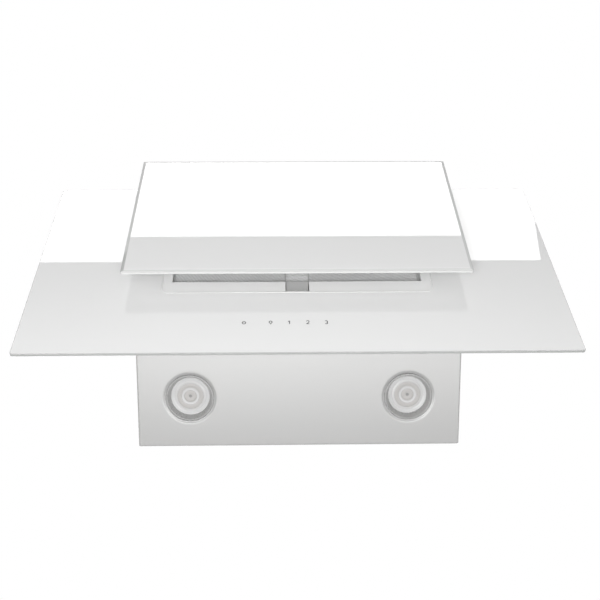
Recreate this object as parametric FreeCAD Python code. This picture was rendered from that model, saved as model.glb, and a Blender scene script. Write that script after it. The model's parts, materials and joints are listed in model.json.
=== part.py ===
"""Wall-hung inclined cooker hood with perimeter suction, one STEP file per physical piece.

Millimetres, +Z up. X runs along the wall, the wall is the plane Y = 0 and the room is on the -Y side.
The origin is the centre of the four wall bolts, on the wall.

The glass leans out over the hob, so most front pieces are drawn lying flat and then stood up:
x stays across, y becomes "up the slope" (called u) and z becomes "out of the slope" (called n).
"""

import FreeCAD, Part
import math
import os

V = FreeCAD.Vector
X_AXIS = V(1, 0, 0)
Z_AXIS = V(0, 0, 1)

# ---- driving dimensions: body and slope ----
LEAN = 24.5  # degrees from vertical
SHEET = 1.0  # body sheet steel
BODY_W = 512.0
BODY_H = 426.0
FOOT_TO_WALL = 158.0  # lower front edge of the glass to the wall
FOOT_BELOW_BODY = 15.0
BOLT_SPACING_X = 440.0
BOLT_SPACING_Z = 340.0
BOLT_HOLE_R = 4.5

# ---- big front glass and what carries it (x, u, n) ----
GLASS_W = 898.0
GLASS_LEN = 500.0
GLASS_T = 5.0
GLASS_CORNER = 5.0
GLASS_EDGE = 0.8
FRAME_N = -8.0  # rear face of the front frame
TAPE_N = FRAME_N + SHEET
TAPE_X = 234.0
TAPE_W = 16.0
TAPE_ROWS_U = (22.0, 118.0, 474.0)
CUT_W = 458.0
CUT_U0 = 158.0
CUT_U1 = 466.0
CUT_R = 12.0

# ---- intake surround, filter and its latch (x, u, n) ----
SURROUND_GAP = 0.6
INTAKE_HALF_W = 212.5
INTAKE_U0 = 191.0
INTAKE_U1 = 449.0
RECESS_N = -22.0
NOTCH_HALF_W = 20.0
NOTCH_U0 = 163.5
FILTER_GAP = 0.7
FILTER_N0 = -20.7
FILTER_N1 = -8.0
FILTER_LIP = 2.5
MESH_T = 0.5
LATCH_HALF_W = 18.5
LATCH_U0 = 165.0
LATCH_U1 = 198.0
LATCH_N = -6.2

# ---- touch control behind the glass (x, u, n) ----
TOUCH_X0 = -108.0
TOUCH_X1 = 64.0
TOUCH_U0 = 58.0
TOUCH_U1 = 94.0
TOUCH_U = 76.0  # row of the five marks
TOUCH_PADS_X = (-88.0, -45.0, -15.0, 15.0, 45.0)  # power, light, speeds 1 to 3
TOUCH_PAD_R = 4.5
TOUCH_DEPTH_N = -22.0
BOARD_T = 1.6

# ---- perimeter panel (x, u, n) ----
PANEL_W = 586.0
PANEL_U0 = 158.0
PANEL_U1 = 534.0
PANEL_FRONT_N = 44.0
PANEL_GLASS_T = 5.0
PANEL_CORNER = 3.0
PANEL_BEVEL_W = 5.0
PANEL_BEVEL_T = 1.2
PANEL_BACK_N = 29.0
PANEL_SHEET = 0.7
TRAY_HALF_W = 268.0
TRAY_U0 = 183.0
TRAY_U1 = 533.5
HINGE_X = 200.0
HINGE_U = 512.0
HINGE_N = 14.0
PIN_R = 2.5
CATCH_X = 221.0
CATCH_U = 245.0
CATCH_R = 7.2
STRIKE_R = 9.0
TRAY_LIP = 10.0
TRAY_CORNER = 3.0
TRAY_BEND = 1.6
BACK_RIBS_X = (-120.0, 0.0, 120.0)
HINGE_SCREW_U = 490.0
HINGE_SCREW_DX = 14.0
HINGE_EYE_R = 6.0

# ---- lamps in the bottom plate ----
LAMP_X = 173.0
LAMP_Y = -80.0
DIMPLE_R = 42.5
DIMPLE_DEPTH = 1.2
LAMP_HOLE_R = 36.0
LENS_R = 31.0
LENS_DEPTH = 12.0  # how far the lens sits above the plate
LAMP_ROOF = 44.0
LAMP_BOARD_Z = 33.6
FIN_TOP = 56.0
FIN_PITCH = 6.5
FIN_T = 1.6
FINS_EACH_SIDE = 4
PLATE_ROLL = 2.6  # outer radius of the plate's rolled lower edges
PLATE_FLANGE_H = 23.0

# ---- blower ----
FAN_Y = -128.0
FAN_Z = 0.0
SCROLL_HALF_W = 80.0
SCROLL_WALL = 2.0
SCROLL_R0 = 84.0
SCROLL_GROWTH = 30.0
IMPELLER_R = 72.0
IMPELLER_RIN = 60.0
BLADES = 32
SHAFT_R = 4.0
MOTOR_X0 = 92.0
MOTOR_X1 = 150.0
MOTOR_R = 46.0
MOTOR_WALL = 2.5
MOTOR_END = 8.0
MOTOR_ARM_ANGLES = (90.0, 210.0, 330.0)
MOTOR_ARM_R = 66.0
BEARING_R = 11.0
BEARING_W = 7.0
ROTOR_R = 24.0
INLET_R = 55.5
INLET_LIP_R = 58.0
WHEEL_HALF_W = 68.0
HUB_R = 12.0

# ---- outlet ----
OUTLET_Y = -90.0
OUTLET_R = 75.0
OUTLET_WALL = 1.5
OUTLET_H = 54.0
OUTLET_FOOT = 84.0  # half side of the collar's square foot
FLAP_PIN_Z = 225.0
FLAP_PIN_R = 2.0
FLAP_GAP = 0.8
SCREW_HOLE_R = 2.1
SPIGOT_SCREW_X = 60.0
SPIGOT_SCREW_DY = 79.0
FLANGE_SCREW_Y = (-40.0, -165.0, -290.0)
FLANGE_W = 18.0

# ---- electrics ----
GLAND_X = -190.0
GLAND_Y = -60.0
GLAND_HOLE_R = 8.2
GLAND_BORE_R = 4.3
GLAND_NUT_R = 12.0
BOX_X0 = -236.0
BOX_X1 = -116.0
BOX_Z0 = 40.0
BOX_Z1 = 150.0
BOX_WALL = 2.0
BOX_DEPTH = 46.0
CAPACITOR_X = 200.0
CAPACITOR_Y = -26.0
CAPACITOR_Z = 60.0
CAPACITOR_R = 16.0
CAPACITOR_H = 62.0
LEAD_R = 2.2

# ---- worked out ----
SIN_A = math.sin(math.radians(LEAN))
COS_A = math.cos(math.radians(LEAN))
HALF_W = BODY_W / 2
BOTTOM_Z = -BODY_H / 2
TOP_Z = BODY_H / 2
FOOT = V(0, -FOOT_TO_WALL, BOTTOM_Z - FOOT_BELOW_BODY)
SLOPE = FreeCAD.Placement(FOOT, FreeCAD.Rotation(X_AXIS, 90 + LEAN))


# ---------------------------------------------------------------- helpers
def save(name, shape):
    shape.exportStep(f"parts/{name}.step")
    print(f"{name:24s} {shape.Volume / 1000:9.2f} cm3  {len(shape.Solids)} solid(s)")


def stand_up(shape):
    """Move a flat-drawn shape (x, u, n) onto the leaning front."""
    stood = shape.copy()
    stood.Placement = SLOPE.multiply(stood.Placement)
    return stood


def block(x0, x1, y0, y1, z0, z1):
    return Part.makeBox(x1 - x0, y1 - y0, z1 - z0, V(x0, y0, z0))


def rounded_block(x0, x1, y0, y1, z0, z1, radius):
    """A block whose four upright edges are rounded."""
    box = block(x0, x1, y0, y1, z0, z1)
    upright = [e for e in box.Edges if abs(e.tangentAt(e.FirstParameter).z) > 0.9]
    return box.makeFillet(radius, upright)


def cylinder(radius, length, base, axis=Z_AXIS):
    return Part.makeCylinder(radius, length, base, axis)


def tube(r_out, r_in, length, base, axis=Z_AXIS):
    return cylinder(r_out, length, base, axis).cut(cylinder(r_in, length, base, axis))


def join(shapes):
    whole = shapes[0].multiFuse(shapes[1:]) if len(shapes) > 1 else shapes[0]
    return whole.removeSplitter()


def group(shapes):
    """Separate solids kept together as one set."""
    return Part.makeCompound(shapes)


def turned(points, base):
    """Revolve an (r, z) outline about the upright line through base."""
    corners = [V(r, 0, z) for r, z in points]
    face = Part.Face(Part.makePolygon(corners + corners[:1]))
    solid = face.revolve(V(0, 0, 0), Z_AXIS, 360)
    solid.translate(base)
    return solid


def sheet_in_yz(points, x0, x1):
    """A flat outline in Y and Z, given thickness along X."""
    corners = [V(x0, y, z) for y, z in points]
    return Part.Face(Part.makePolygon(corners + corners[:1])).extrude(V(x1 - x0, 0, 0))


def front_y(z, n):
    """Y where the plane at height n off the slope crosses height z."""
    u = (z - FOOT.z + n * SIN_A) / COS_A
    return FOOT.y - u * SIN_A - n * COS_A


def behind_front(shape, n):
    """Keep what lies behind the plane at height n off the slope."""
    return shape.cut(stand_up(block(-600, 600, -400, 900, n, 900)))


def mirror_x(shape):
    return shape.mirror(V(0, 0, 0), X_AXIS)


def screw(base, axis, length, r=2.0, head_r=3.8, head_h=2.2):
    """Pan-head screw: base is the seat under its head, axis points out of the seat."""
    head = cylinder(head_r, head_h, base, axis)
    rim = [e for e in head.Edges if abs((e.CenterOfMass - base).dot(axis) - head_h) < 0.01]
    head = head.makeFillet(head_h * 0.45, rim)
    return head.fuse(cylinder(r, length, base - axis * length, axis))


# ---------------------------------------------------------------- body
def flange_screw_points():
    """Top screws, one row above each side panel's top flange."""
    return [V(side * (HALF_W - FLANGE_W / 2), y, TOP_Z) for side in (-1, 1) for y in FLANGE_SCREW_Y]


def back_plate():
    plate = block(-HALF_W, HALF_W, -SHEET, 0, BOTTOM_Z + 3, TOP_Z - SHEET)
    for x in (-BOLT_SPACING_X / 2, BOLT_SPACING_X / 2):
        for z in (-BOLT_SPACING_Z / 2, BOLT_SPACING_Z / 2):
            plate = plate.cut(cylinder(BOLT_HOLE_R, SHEET, V(x, -SHEET, z), V(0, 1, 0)))
    return plate


def side_panel():
    """Right-hand side: a flat wedge with flanges turned in along its top, back and front."""
    z0 = BOTTOM_Z + 3
    z1 = TOP_Z - SHEET
    z2 = BOTTOM_Z + 24
    outline = [(-SHEET, z0), (-SHEET, z1), (front_y(z1, FRAME_N), z1), (front_y(z0, FRAME_N), z0)]
    wall = sheet_in_yz(outline, HALF_W - SHEET, HALF_W)
    top = block(HALF_W - FLANGE_W, HALF_W - 0.5, front_y(z1, FRAME_N), -SHEET, z1 - SHEET, z1)
    back = block(HALF_W - FLANGE_W, HALF_W - 0.5, -2 * SHEET, -SHEET, z2, z1)
    front = stand_up(block(HALF_W - FLANGE_W, HALF_W - 0.5, 40, 478, FRAME_N - SHEET, FRAME_N))
    front = front.cut(block(-300, 300, -500, 0, z1 - SHEET, 400))
    panel = join([wall, behind_front(top, FRAME_N), back, front])
    for point in flange_screw_points()[3:]:
        panel = panel.cut(cylinder(SCREW_HOLE_R, 20, V(point.x, point.y, z1 - 10)))
    return panel


def bottom_plate():
    """Pan with rolled lower edges, a stepped-in flange, and a pressed dimple for each lamp."""
    y0 = front_y(BOTTOM_Z, FRAME_N) - 20
    outer = block(-HALF_W, HALF_W, y0, 0, BOTTOM_Z, BOTTOM_Z + 3)
    rolled = []
    for edge in outer.Edges:
        middle = edge.CenterOfMass
        lower = abs(middle.z - BOTTOM_Z) < 0.01 and middle.y > y0 + 1
        rear_corner = abs(middle.y) < 0.01 and abs(middle.z - BOTTOM_Z - 1.5) < 0.01
        if lower or rear_corner:
            rolled.append(edge)
    outer = outer.makeFillet(PLATE_ROLL, rolled)
    x1 = HALF_W - SHEET
    x2 = HALF_W - 2 * SHEET
    flange = block(-x1, x1, y0, -SHEET, BOTTOM_Z + 2, BOTTOM_Z + PLATE_FLANGE_H)
    hollow = block(-x2, x2, y0 - 5, -2 * SHEET, BOTTOM_Z + SHEET, BOTTOM_Z + 30)
    pan = behind_front(join([outer, flange]).cut(hollow), FRAME_N)
    rise = DIMPLE_DEPTH
    dimple = [(DIMPLE_R, 0), (DIMPLE_R - 3, rise), (LAMP_HOLE_R, rise), (LAMP_HOLE_R, rise + SHEET),
              (DIMPLE_R - 3.4, rise + SHEET), (DIMPLE_R, SHEET)]
    for x in (-LAMP_X, LAMP_X):
        centre = V(x, LAMP_Y, BOTTOM_Z)
        pan = pan.cut(cylinder(DIMPLE_R, 3, centre)).fuse(turned(dimple, centre))
    return pan.removeSplitter()


def top_plate():
    y0 = front_y(TOP_Z, FRAME_N)
    plate = behind_front(block(-HALF_W, HALF_W, y0, 0, TOP_Z - SHEET, TOP_Z), FRAME_N)
    plate = plate.cut(cylinder(OUTLET_R - OUTLET_WALL, 3, V(0, OUTLET_Y, TOP_Z - 2)))
    plate = plate.cut(cylinder(GLAND_HOLE_R, 3, V(GLAND_X, GLAND_Y, TOP_Z - 2)))
    for point in flange_screw_points() + spigot_screw_points():
        plate = plate.cut(cylinder(SCREW_HOLE_R, 3, V(point.x, point.y, TOP_Z - 2)))
    return plate


def front_frame():
    """Flat sheet behind the glass, with windows for the intake and for the touch control."""
    sheet = block(-HALF_W, HALF_W, 13.5, GLASS_LEN - 2, FRAME_N, TAPE_N)
    sheet = sheet.cut(block(-217, 217, 161, 454, FRAME_N, TAPE_N))
    sheet = sheet.cut(block(TOUCH_X0 - 2, TOUCH_X1 + 2, TOUCH_U0 - 2, TOUCH_U1 + 2, FRAME_N, TAPE_N))
    for x, u in hinge_screw_points():
        sheet = sheet.cut(cylinder(SCREW_HOLE_R, 3, V(x, u, FRAME_N - 1)))
    return stand_up(sheet)


# ---------------------------------------------------------------- front glass and intake
def front_glass():
    half = GLASS_W / 2
    pane = rounded_block(-half, half, 0, GLASS_LEN, -GLASS_T, 0, GLASS_CORNER)
    rim = [e for e in pane.Edges if abs(abs(e.CenterOfMass.z + GLASS_T / 2) - GLASS_T / 2) < 0.01]
    pane = pane.makeChamfer(GLASS_EDGE, rim)
    hole = rounded_block(-CUT_W / 2, CUT_W / 2, CUT_U0, CUT_U1, -GLASS_T - 1, 1, CUT_R)
    return stand_up(pane.cut(hole))


def bonding_tape():
    strips = []
    for x0 in (-TAPE_X - TAPE_W, TAPE_X):
        strips.append(block(x0, x0 + TAPE_W, TAPE_ROWS_U[0], TAPE_ROWS_U[-1] + TAPE_W, TAPE_N, -GLASS_T))
    for u0 in TAPE_ROWS_U:
        strips.append(block(-TAPE_X, TAPE_X, u0, u0 + TAPE_W, TAPE_N, -GLASS_T))
    return stand_up(join(strips))


def intake_outline(grow, n0, n1):
    """The filter opening with the finger notch below it, grown outwards."""
    main = block(-INTAKE_HALF_W - grow, INTAKE_HALF_W + grow, INTAKE_U0 - grow, INTAKE_U1 + grow, n0, n1)
    notch = block(-NOTCH_HALF_W - grow, NOTCH_HALF_W + grow, NOTCH_U0 - grow, INTAKE_U0, n0, n1)
    return main.fuse(notch)


def intake_surround():
    g = SURROUND_GAP
    box = [-CUT_W / 2 + g, CUT_W / 2 - g, CUT_U0 + g, CUT_U1 - g]
    face = rounded_block(*box, -2, -1, CUT_R - g)
    skirt = rounded_block(*box, TAPE_N, -2, CUT_R - g)
    inner = [box[0] + SHEET, box[1] - SHEET, box[2] + SHEET, box[3] - SHEET]
    skirt = skirt.cut(rounded_block(*inner, TAPE_N, -2, CUT_R - g - SHEET))
    recess = intake_outline(SHEET, RECESS_N, -2)
    ledge = intake_outline(-6, RECESS_N - 1, RECESS_N + SHEET + 1)
    shape = join([face, skirt, recess]).cut(intake_outline(0, RECESS_N + SHEET, 0)).cut(ledge)
    slot = block(-10.5, 10.5, NOTCH_U0 - 3, NOTCH_U0 + 1, -15.5, -12)
    return stand_up(shape.cut(slot).removeSplitter())


def filter_frame():
    """Thin channel all round, two ribs across front and back, and the latch's guide tongue."""
    x1 = INTAKE_HALF_W - FILTER_GAP
    u0 = INTAKE_U0 + FILTER_GAP
    u1 = INTAKE_U1 - FILTER_GAP
    wall = 1.0
    lip = FILTER_LIP
    frame = block(-x1, x1, u0, u1, FILTER_N0, FILTER_N1)
    frame = frame.cut(block(-x1 + wall, x1 - wall, u0 + wall, u1 - wall, FILTER_N0 + wall, FILTER_N1 - wall))
    frame = frame.cut(block(-x1 + lip, x1 - lip, u0 + lip, u1 - lip, FILTER_N0 - 1, FILTER_N1 + 1))
    ribs = []
    for x in (-20, 20):
        for n0 in (FILTER_N0, FILTER_N1 - wall):
            ribs.append(block(x - 1, x + 1, u0 + 1, u1 - 1, n0, n0 + wall))
    tongue = block(-16, 16, 172, u0 + 0.5, -12.4, -11.2)
    return stand_up(join([frame, tongue] + ribs))


def filter_mesh():
    """Three thin layers of expanded mesh, drawn as plain sheets."""
    inset = FILTER_GAP + 1.2
    x1 = INTAKE_HALF_W - inset
    layers = []
    for n0 in (FILTER_N0 + 1.2, (FILTER_N0 + FILTER_N1) / 2, FILTER_N1 - 1.2 - MESH_T):
        layers.append(block(-x1, x1, INTAKE_U0 + inset, INTAKE_U1 - inset, n0, n0 + MESH_T))
    return stand_up(group(layers))


def filter_latch():
    """Sprung slide: finger tab in front, a web below it and a nose through the surround's slot."""
    tab = rounded_block(-LATCH_HALF_W, LATCH_HALF_W, LATCH_U0, LATCH_U1, LATCH_N - 1.2, LATCH_N, 1.5)
    web = block(-LATCH_HALF_W + 2, LATCH_HALF_W - 2, LATCH_U0, LATCH_U0 + 1.2, -14.2, LATCH_N - 0.5)
    leg = block(-14, 14, LATCH_U0, LATCH_U0 + 16, -14.2, -13)
    nose = block(-9, 9, LATCH_U0 - 4.5, LATCH_U0 + 1, -14.2, -13)
    lip = block(-14, 14, LATCH_U0 + 6, LATCH_U0 + 7.2, LATCH_N - 0.8, LATCH_N + 1.6)
    return stand_up(join([tab, web, leg, nose, lip]))


def latch_springs():
    springs = []
    for x in (-9, 9):
        length = 20.0
        helix = Part.makeHelix(2.5, length, 1.2)
        ring = Part.Wire(Part.makeCircle(0.22, V(1.2, 0, 0), V(0, 1, 0)))
        coil = Part.Wire(helix).makePipeShell([ring], True, True)
        coil.rotate(V(0, 0, 0), X_AXIS, -90)
        coil.translate(V(x, LATCH_U0 + 1.2 + 0.35, -9.35))
        springs.append(coil)
    return stand_up(group(springs))


# ---------------------------------------------------------------- touch control
def touch_housing():
    box = rounded_block(TOUCH_X0, TOUCH_X1, TOUCH_U0, TOUCH_U1, TOUCH_DEPTH_N, -GLASS_T - 0.2, 3)
    box = box.cut(block(TOUCH_X0 + 2, TOUCH_X1 - 2, TOUCH_U0 + 2, TOUCH_U1 - 2, TOUCH_DEPTH_N + 2, 0))
    flange = block(TOUCH_X0 - 8, TOUCH_X1 + 8, TOUCH_U0 - 8, TOUCH_U1 + 8, -10, FRAME_N)
    hole = block(TOUCH_X0 + 1, TOUCH_X1 - 1, TOUCH_U0 + 1, TOUCH_U1 - 1, -11, 0)
    return stand_up(join([box, flange.cut(hole)]))


def touch_board():
    """Board with a sprung electrode pad under each of the five marks."""
    n0 = TOUCH_DEPTH_N + 7
    board = block(TOUCH_X0 + 4, TOUCH_X1 - 4, TOUCH_U0 + 4, TOUCH_U1 - 4, n0, n0 + BOARD_T)
    pads = [cylinder(TOUCH_PAD_R, 8, V(x, TOUCH_U, n0 + 1.5)) for x in TOUCH_PADS_X]
    feet = []
    for x in (TOUCH_X0 + 8, TOUCH_X1 - 8):
        for u in (TOUCH_U0 + 8, TOUCH_U1 - 8):
            feet.append(cylinder(2, 5, V(x, u, TOUCH_DEPTH_N + 2)))
    return stand_up(join([board] + pads + feet))


# ---------------------------------------------------------------- perimeter panel and its hinges
def panel_tray():
    """Folded tray bonded behind the pane, well inside its edges, with a lip turned in all round."""
    half = TRAY_HALF_W
    n1 = PANEL_FRONT_N - PANEL_GLASS_T
    tray = rounded_block(-half, half, TRAY_U0, TRAY_U1, PANEL_BACK_N, n1, TRAY_CORNER)
    rim = [e for e in tray.Edges if abs(e.CenterOfMass.z - n1) < 0.01]
    tray = tray.makeFillet(TRAY_BEND, rim)
    t = PANEL_SHEET
    inside = block(-half + t, half - t, TRAY_U0 + t, TRAY_U1 - t, PANEL_BACK_N + t, n1 - t)
    x1 = half - TRAY_LIP
    mouth = block(-x1, x1, TRAY_U0 + TRAY_LIP, TRAY_U1 - TRAY_LIP, PANEL_BACK_N - 1, PANEL_BACK_N + 2)
    return stand_up(tray.cut(inside).cut(mouth))


def panel_back():
    """Closing sheet that lies on the tray's turned-in lip, seen when the panel is open."""
    half = TRAY_HALF_W - 2
    n0 = PANEL_BACK_N + PANEL_SHEET
    sheet = block(-half, half, TRAY_U0 + 2, TRAY_U1 - 2, n0, n0 + PANEL_SHEET)
    ribs = [block(x - 1, x + 1, TRAY_U0 + 30, TRAY_U1 - 40, n0 + 0.5, n0 + 8) for x in BACK_RIBS_X]
    return stand_up(join([sheet] + ribs))


def panel_glass():
    """Pane with a wide shallow bevel ground all round its front, mitred at the corners."""
    half = PANEL_W / 2
    n0 = PANEL_FRONT_N - PANEL_GLASS_T
    knee = PANEL_FRONT_N - PANEL_BEVEL_T
    loops = []
    for inset, n in ((0, n0), (0, knee), (PANEL_BEVEL_W, PANEL_FRONT_N)):
        x1 = half - inset
        u0 = PANEL_U0 + inset
        u1 = PANEL_U1 - inset
        corners = [V(-x1, u0, n), V(x1, u0, n), V(x1, u1, n), V(-x1, u1, n)]
        loops.append(Part.makePolygon(corners + corners[:1]))
    bevelled = Part.makeLoft(loops, True, True)
    pane = rounded_block(-half, half, PANEL_U0, PANEL_U1, n0, PANEL_FRONT_N, PANEL_CORNER)
    return stand_up(pane.common(bevelled))


def hinge_screw_points():
    d = HINGE_SCREW_DX
    return [(side * HINGE_X + x, HINGE_SCREW_U) for side in (-1, 1) for x in (-d, d)]


def hinge_bracket(centre):
    """Fixed leaf: bolted behind the glass, reaches over its top edge and ends in two eyes."""
    leg = block(centre - 22, centre + 22, 483.5, 508, FRAME_N - 3, FRAME_N)
    parts = [leg]
    for x0 in (centre - 12, centre + 7):
        parts.append(block(x0, x0 + 5, 503, 509, FRAME_N - 3, HINGE_N))
        parts.append(cylinder(HINGE_EYE_R + 0.5, 5, V(x0, HINGE_U, HINGE_N), X_AXIS))
    bracket = join(parts)
    bracket = bracket.cut(cylinder(PIN_R + 0.02, 60, V(centre - 30, HINGE_U, HINGE_N), X_AXIS))
    for x, u in hinge_screw_points():
        bracket = bracket.cut(cylinder(SCREW_HOLE_R, 6, V(x, u, FRAME_N - 4)))
    return stand_up(bracket)


def hinge_lug(centre):
    """Moving leaf: a foot under the panel's back and one eye between the fixed eyes."""
    seat_n = PANEL_BACK_N + PANEL_SHEET
    foot = block(centre - 24, centre + 24, 499, 523, seat_n - 2, seat_n)
    web = block(centre - 6, centre + 6, HINGE_U - HINGE_EYE_R, HINGE_U + HINGE_EYE_R, HINGE_N, seat_n - 1)
    eye = cylinder(HINGE_EYE_R, 12, V(centre - 6, HINGE_U, HINGE_N), X_AXIS)
    lug = join([foot, web, eye])
    return stand_up(lug.cut(cylinder(PIN_R + 0.06, 20, V(centre - 10, HINGE_U, HINGE_N), X_AXIS)))


def hinge_pins():
    pins = []
    for centre in (-HINGE_X, HINGE_X):
        pin = cylinder(PIN_R, 28, V(centre - 14, HINGE_U, HINGE_N), X_AXIS)
        heads = [cylinder(4.2, 1.6, V(x, HINGE_U, HINGE_N), X_AXIS) for x in (centre - 14, centre + 12.4)]
        pins.append(join([pin] + heads))
    return stand_up(group(pins))


def panel_catches():
    """Magnetic catches on posts that reach from the surround to the closed panel."""
    catches = []
    cup_n = PANEL_BACK_N - 5
    for x in (-CATCH_X, CATCH_X):
        base = cylinder(CATCH_R, 2, V(x, CATCH_U, -1))
        post = Part.makeCone(6, 5, cup_n - 1, V(x, CATCH_U, 1))
        cup = cylinder(6.5, 4.3, V(x, CATCH_U, cup_n))
        catches.append(join([base, post, cup]))
    return stand_up(group(catches))


def catch_strikes():
    n0 = PANEL_BACK_N + PANEL_SHEET - 1
    plates = [cylinder(STRIKE_R, 1, V(side * CATCH_X, CATCH_U, n0)) for side in (-1, 1)]
    return stand_up(group(plates))


# ---------------------------------------------------------------- lamps
def lamp_bezel(centre):
    seat = LENS_DEPTH
    outline = [(38.5, 1.2), (38.5, 0.3), (37.8, -0.4), (36.8, -0.4), (29.3, seat - 0.6), (29.3, seat),
               (LENS_R + 0.1, seat), (LENS_R + 0.1, seat + 6), (LENS_R + 1, seat + 6), (LENS_R + 1, seat),
               (35.5, 2.2), (35.5, 1.2)]
    return turned(outline, centre)


def lamp_lens(centre):
    """Frosted disc with two raised rings and a small centre button on its lower face."""
    face = LENS_DEPTH
    raised = LENS_DEPTH - 0.8
    outline = [(0, raised), (3.5, raised), (3.5, face), (12.5, face), (12.5, raised), (15.5, raised),
               (15.5, face), (24, face), (24, raised), (28.6, raised), (28.6, face),
               (LENS_R, face), (LENS_R, face + 3), (0, face + 3)]
    return turned(outline, centre)


def lamp_reflector(centre):
    low = LENS_DEPTH + 3
    outline = [(30.8, low), (12, low + 16), (12, low + 17), (13, low + 17), (30.8, low + 1.4)]
    return turned(outline, centre)


def lamp_board(centre):
    top = LAMP_BOARD_Z
    low = top - BOARD_T
    outline = [(0, low - 2.5), (3, low - 2.2), (5, low - 1), (5.6, low), (16, low), (16, top), (0, top)]
    return turned(outline, centre)


def lamp_housing(centre):
    """Cast can with a flat roof and cooling fins on top."""
    can = turned([(LENS_R + 1.2, 14), (LENS_R + 2.8, 14), (LENS_R + 2.8, LAMP_ROOF), (0, LAMP_ROOF),
                  (0, LAMP_BOARD_Z), (20, LAMP_BOARD_Z), (LENS_R + 1.2, 22)], centre)
    fins = []
    for i in range(-FINS_EACH_SIDE, FINS_EACH_SIDE + 1):
        y = i * FIN_PITCH
        half = math.sqrt((LENS_R + 2) ** 2 - y * y)
        fins.append(block(-half, half, y - FIN_T / 2, y + FIN_T / 2, LAMP_ROOF - 1, FIN_TOP))
    for fin in fins:
        fin.translate(centre)
    return join([can] + fins)


def lamp_clips(centre):
    """Two leaf springs that press the bezel up against the plate."""
    clips = []
    r0 = LENS_R + 2.8
    line = [(r0, 36), (r0, 22), (r0 + 6, 7), (r0 + 16, 1.1)]
    back = [(r0 + 16, 1.9), (r0 + 6.8, 7.6), (r0 + 0.8, 22), (r0 + 0.8, 36)]
    corners = [V(r, -6, z) for r, z in line + back]
    leaf = Part.Face(Part.makePolygon(corners + corners[:1])).extrude(V(0, 12, 0))
    for angle in (90, 270):
        clip = leaf.copy()
        clip.rotate(V(0, 0, 0), Z_AXIS, angle)
        clip.translate(centre)
        clips.append(clip)
    return group(clips)


# ---------------------------------------------------------------- blower
def scroll_solid(inset, x0, x1):
    """Snail shape: the radius grows evenly from the tongue, round under the fan, to the outlet duct."""
    points = []
    steps = 18
    for i in range(steps + 1):
        turn = math.radians(270.0 * i / steps)
        radius = SCROLL_R0 + SCROLL_GROWTH * i / steps - inset
        points.append(V(x0, FAN_Y - radius * math.sin(turn), FAN_Z + radius * math.cos(turn)))
    curve = Part.BSplineCurve()
    curve.interpolate(points)
    top = TOP_Z - SHEET
    rear = points[-1]
    duct = [rear, V(x0, rear.y, top), V(x0, OUTLET_Y - OUTLET_R + 1 + inset, top), points[0]]
    edges = [curve.toShape()] + [Part.makeLine(a, b) for a, b in zip(duct, duct[1:])]
    return Part.Face(Part.Wire(edges)).extrude(V(x1 - x0, 0, 0))


def scroll_half(side):
    """One half of the fan housing, split at the middle, with a flared air inlet."""
    outer = scroll_solid(0, 0, SCROLL_HALF_W)
    x1 = SCROLL_HALF_W - SCROLL_WALL
    inner = scroll_solid(SCROLL_WALL, -1, x1)
    slit = block(-1, x1, OUTLET_Y - OUTLET_R + 5, FAN_Y + 100, TOP_Z - 4, TOP_Z)
    shell = outer.cut(inner).cut(slit).cut(cylinder(INLET_R + 0.5, 10, V(x1 - 4, FAN_Y, FAN_Z), X_AXIS))
    lip = tube(INLET_LIP_R, INLET_R, 5, V(x1 - 3, FAN_Y, FAN_Z), X_AXIS)
    half = shell.fuse(lip).removeSplitter()
    return half if side > 0 else mirror_x(half)


def impeller():
    """Double-inlet cage wheel: centre disc, two end rings and curved blades between them."""
    half = WHEEL_HALF_W
    parts = [cylinder(IMPELLER_R, 2, V(-1, FAN_Y, FAN_Z), X_AXIS)]
    parts.append(cylinder(HUB_R, 26, V(-13, FAN_Y, FAN_Z), X_AXIS))
    for x0 in (-half, half - 2):
        parts.append(tube(IMPELLER_R, IMPELLER_RIN, 2, V(x0, FAN_Y, FAN_Z), X_AXIS))
    mid = (IMPELLER_R + IMPELLER_RIN) / 2
    arc_out = Part.Arc(V(0, 0, IMPELLER_RIN + 0.6), V(0, 3.4, mid), V(0, 2, IMPELLER_R - 0.3)).toShape()
    arc_in = Part.Arc(V(0, 1.2, IMPELLER_R - 0.3), V(0, 2.6, mid), V(0, -0.8, IMPELLER_RIN + 0.6)).toShape()
    ends = [Part.makeLine(V(0, 2, IMPELLER_R - 0.3), V(0, 1.2, IMPELLER_R - 0.3)),
            Part.makeLine(V(0, -0.8, IMPELLER_RIN + 0.6), V(0, 0, IMPELLER_RIN + 0.6))]
    outline = Part.Wire([arc_out, ends[0], arc_in, ends[1]])
    blade = Part.Face(outline).extrude(V(2 * half - 2, 0, 0))
    blade.translate(V(-half + 1, FAN_Y, FAN_Z))
    for i in range(BLADES):
        turned_blade = blade.copy()
        turned_blade.rotate(V(0, FAN_Y, FAN_Z), X_AXIS, 360.0 * i / BLADES)
        parts.append(turned_blade)
    return join(parts).cut(cylinder(SHAFT_R, 40, V(-20, FAN_Y, FAN_Z), X_AXIS))


def fan_shaft():
    return cylinder(SHAFT_R, MOTOR_X1 - 2 + 15, V(-15, FAN_Y, FAN_Z), X_AXIS)


def motor_rotor():
    return tube(ROTOR_R, SHAFT_R, 32, V(MOTOR_X0 + 13, FAN_Y, FAN_Z), X_AXIS)


def motor_stator():
    """Laminated ring with six inward teeth."""
    ring = tube(MOTOR_R - MOTOR_WALL, 33, 30, V(MOTOR_X0 + 14, FAN_Y, FAN_Z), X_AXIS)
    teeth = []
    for i in range(6):
        tooth = block(MOTOR_X0 + 14, MOTOR_X0 + 44, FAN_Y - 5, FAN_Y + 5, FAN_Z + 25, FAN_Z + 34)
        tooth.rotate(V(0, FAN_Y, FAN_Z), X_AXIS, 60.0 * i)
        teeth.append(tooth)
    return join([ring] + teeth)


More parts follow.
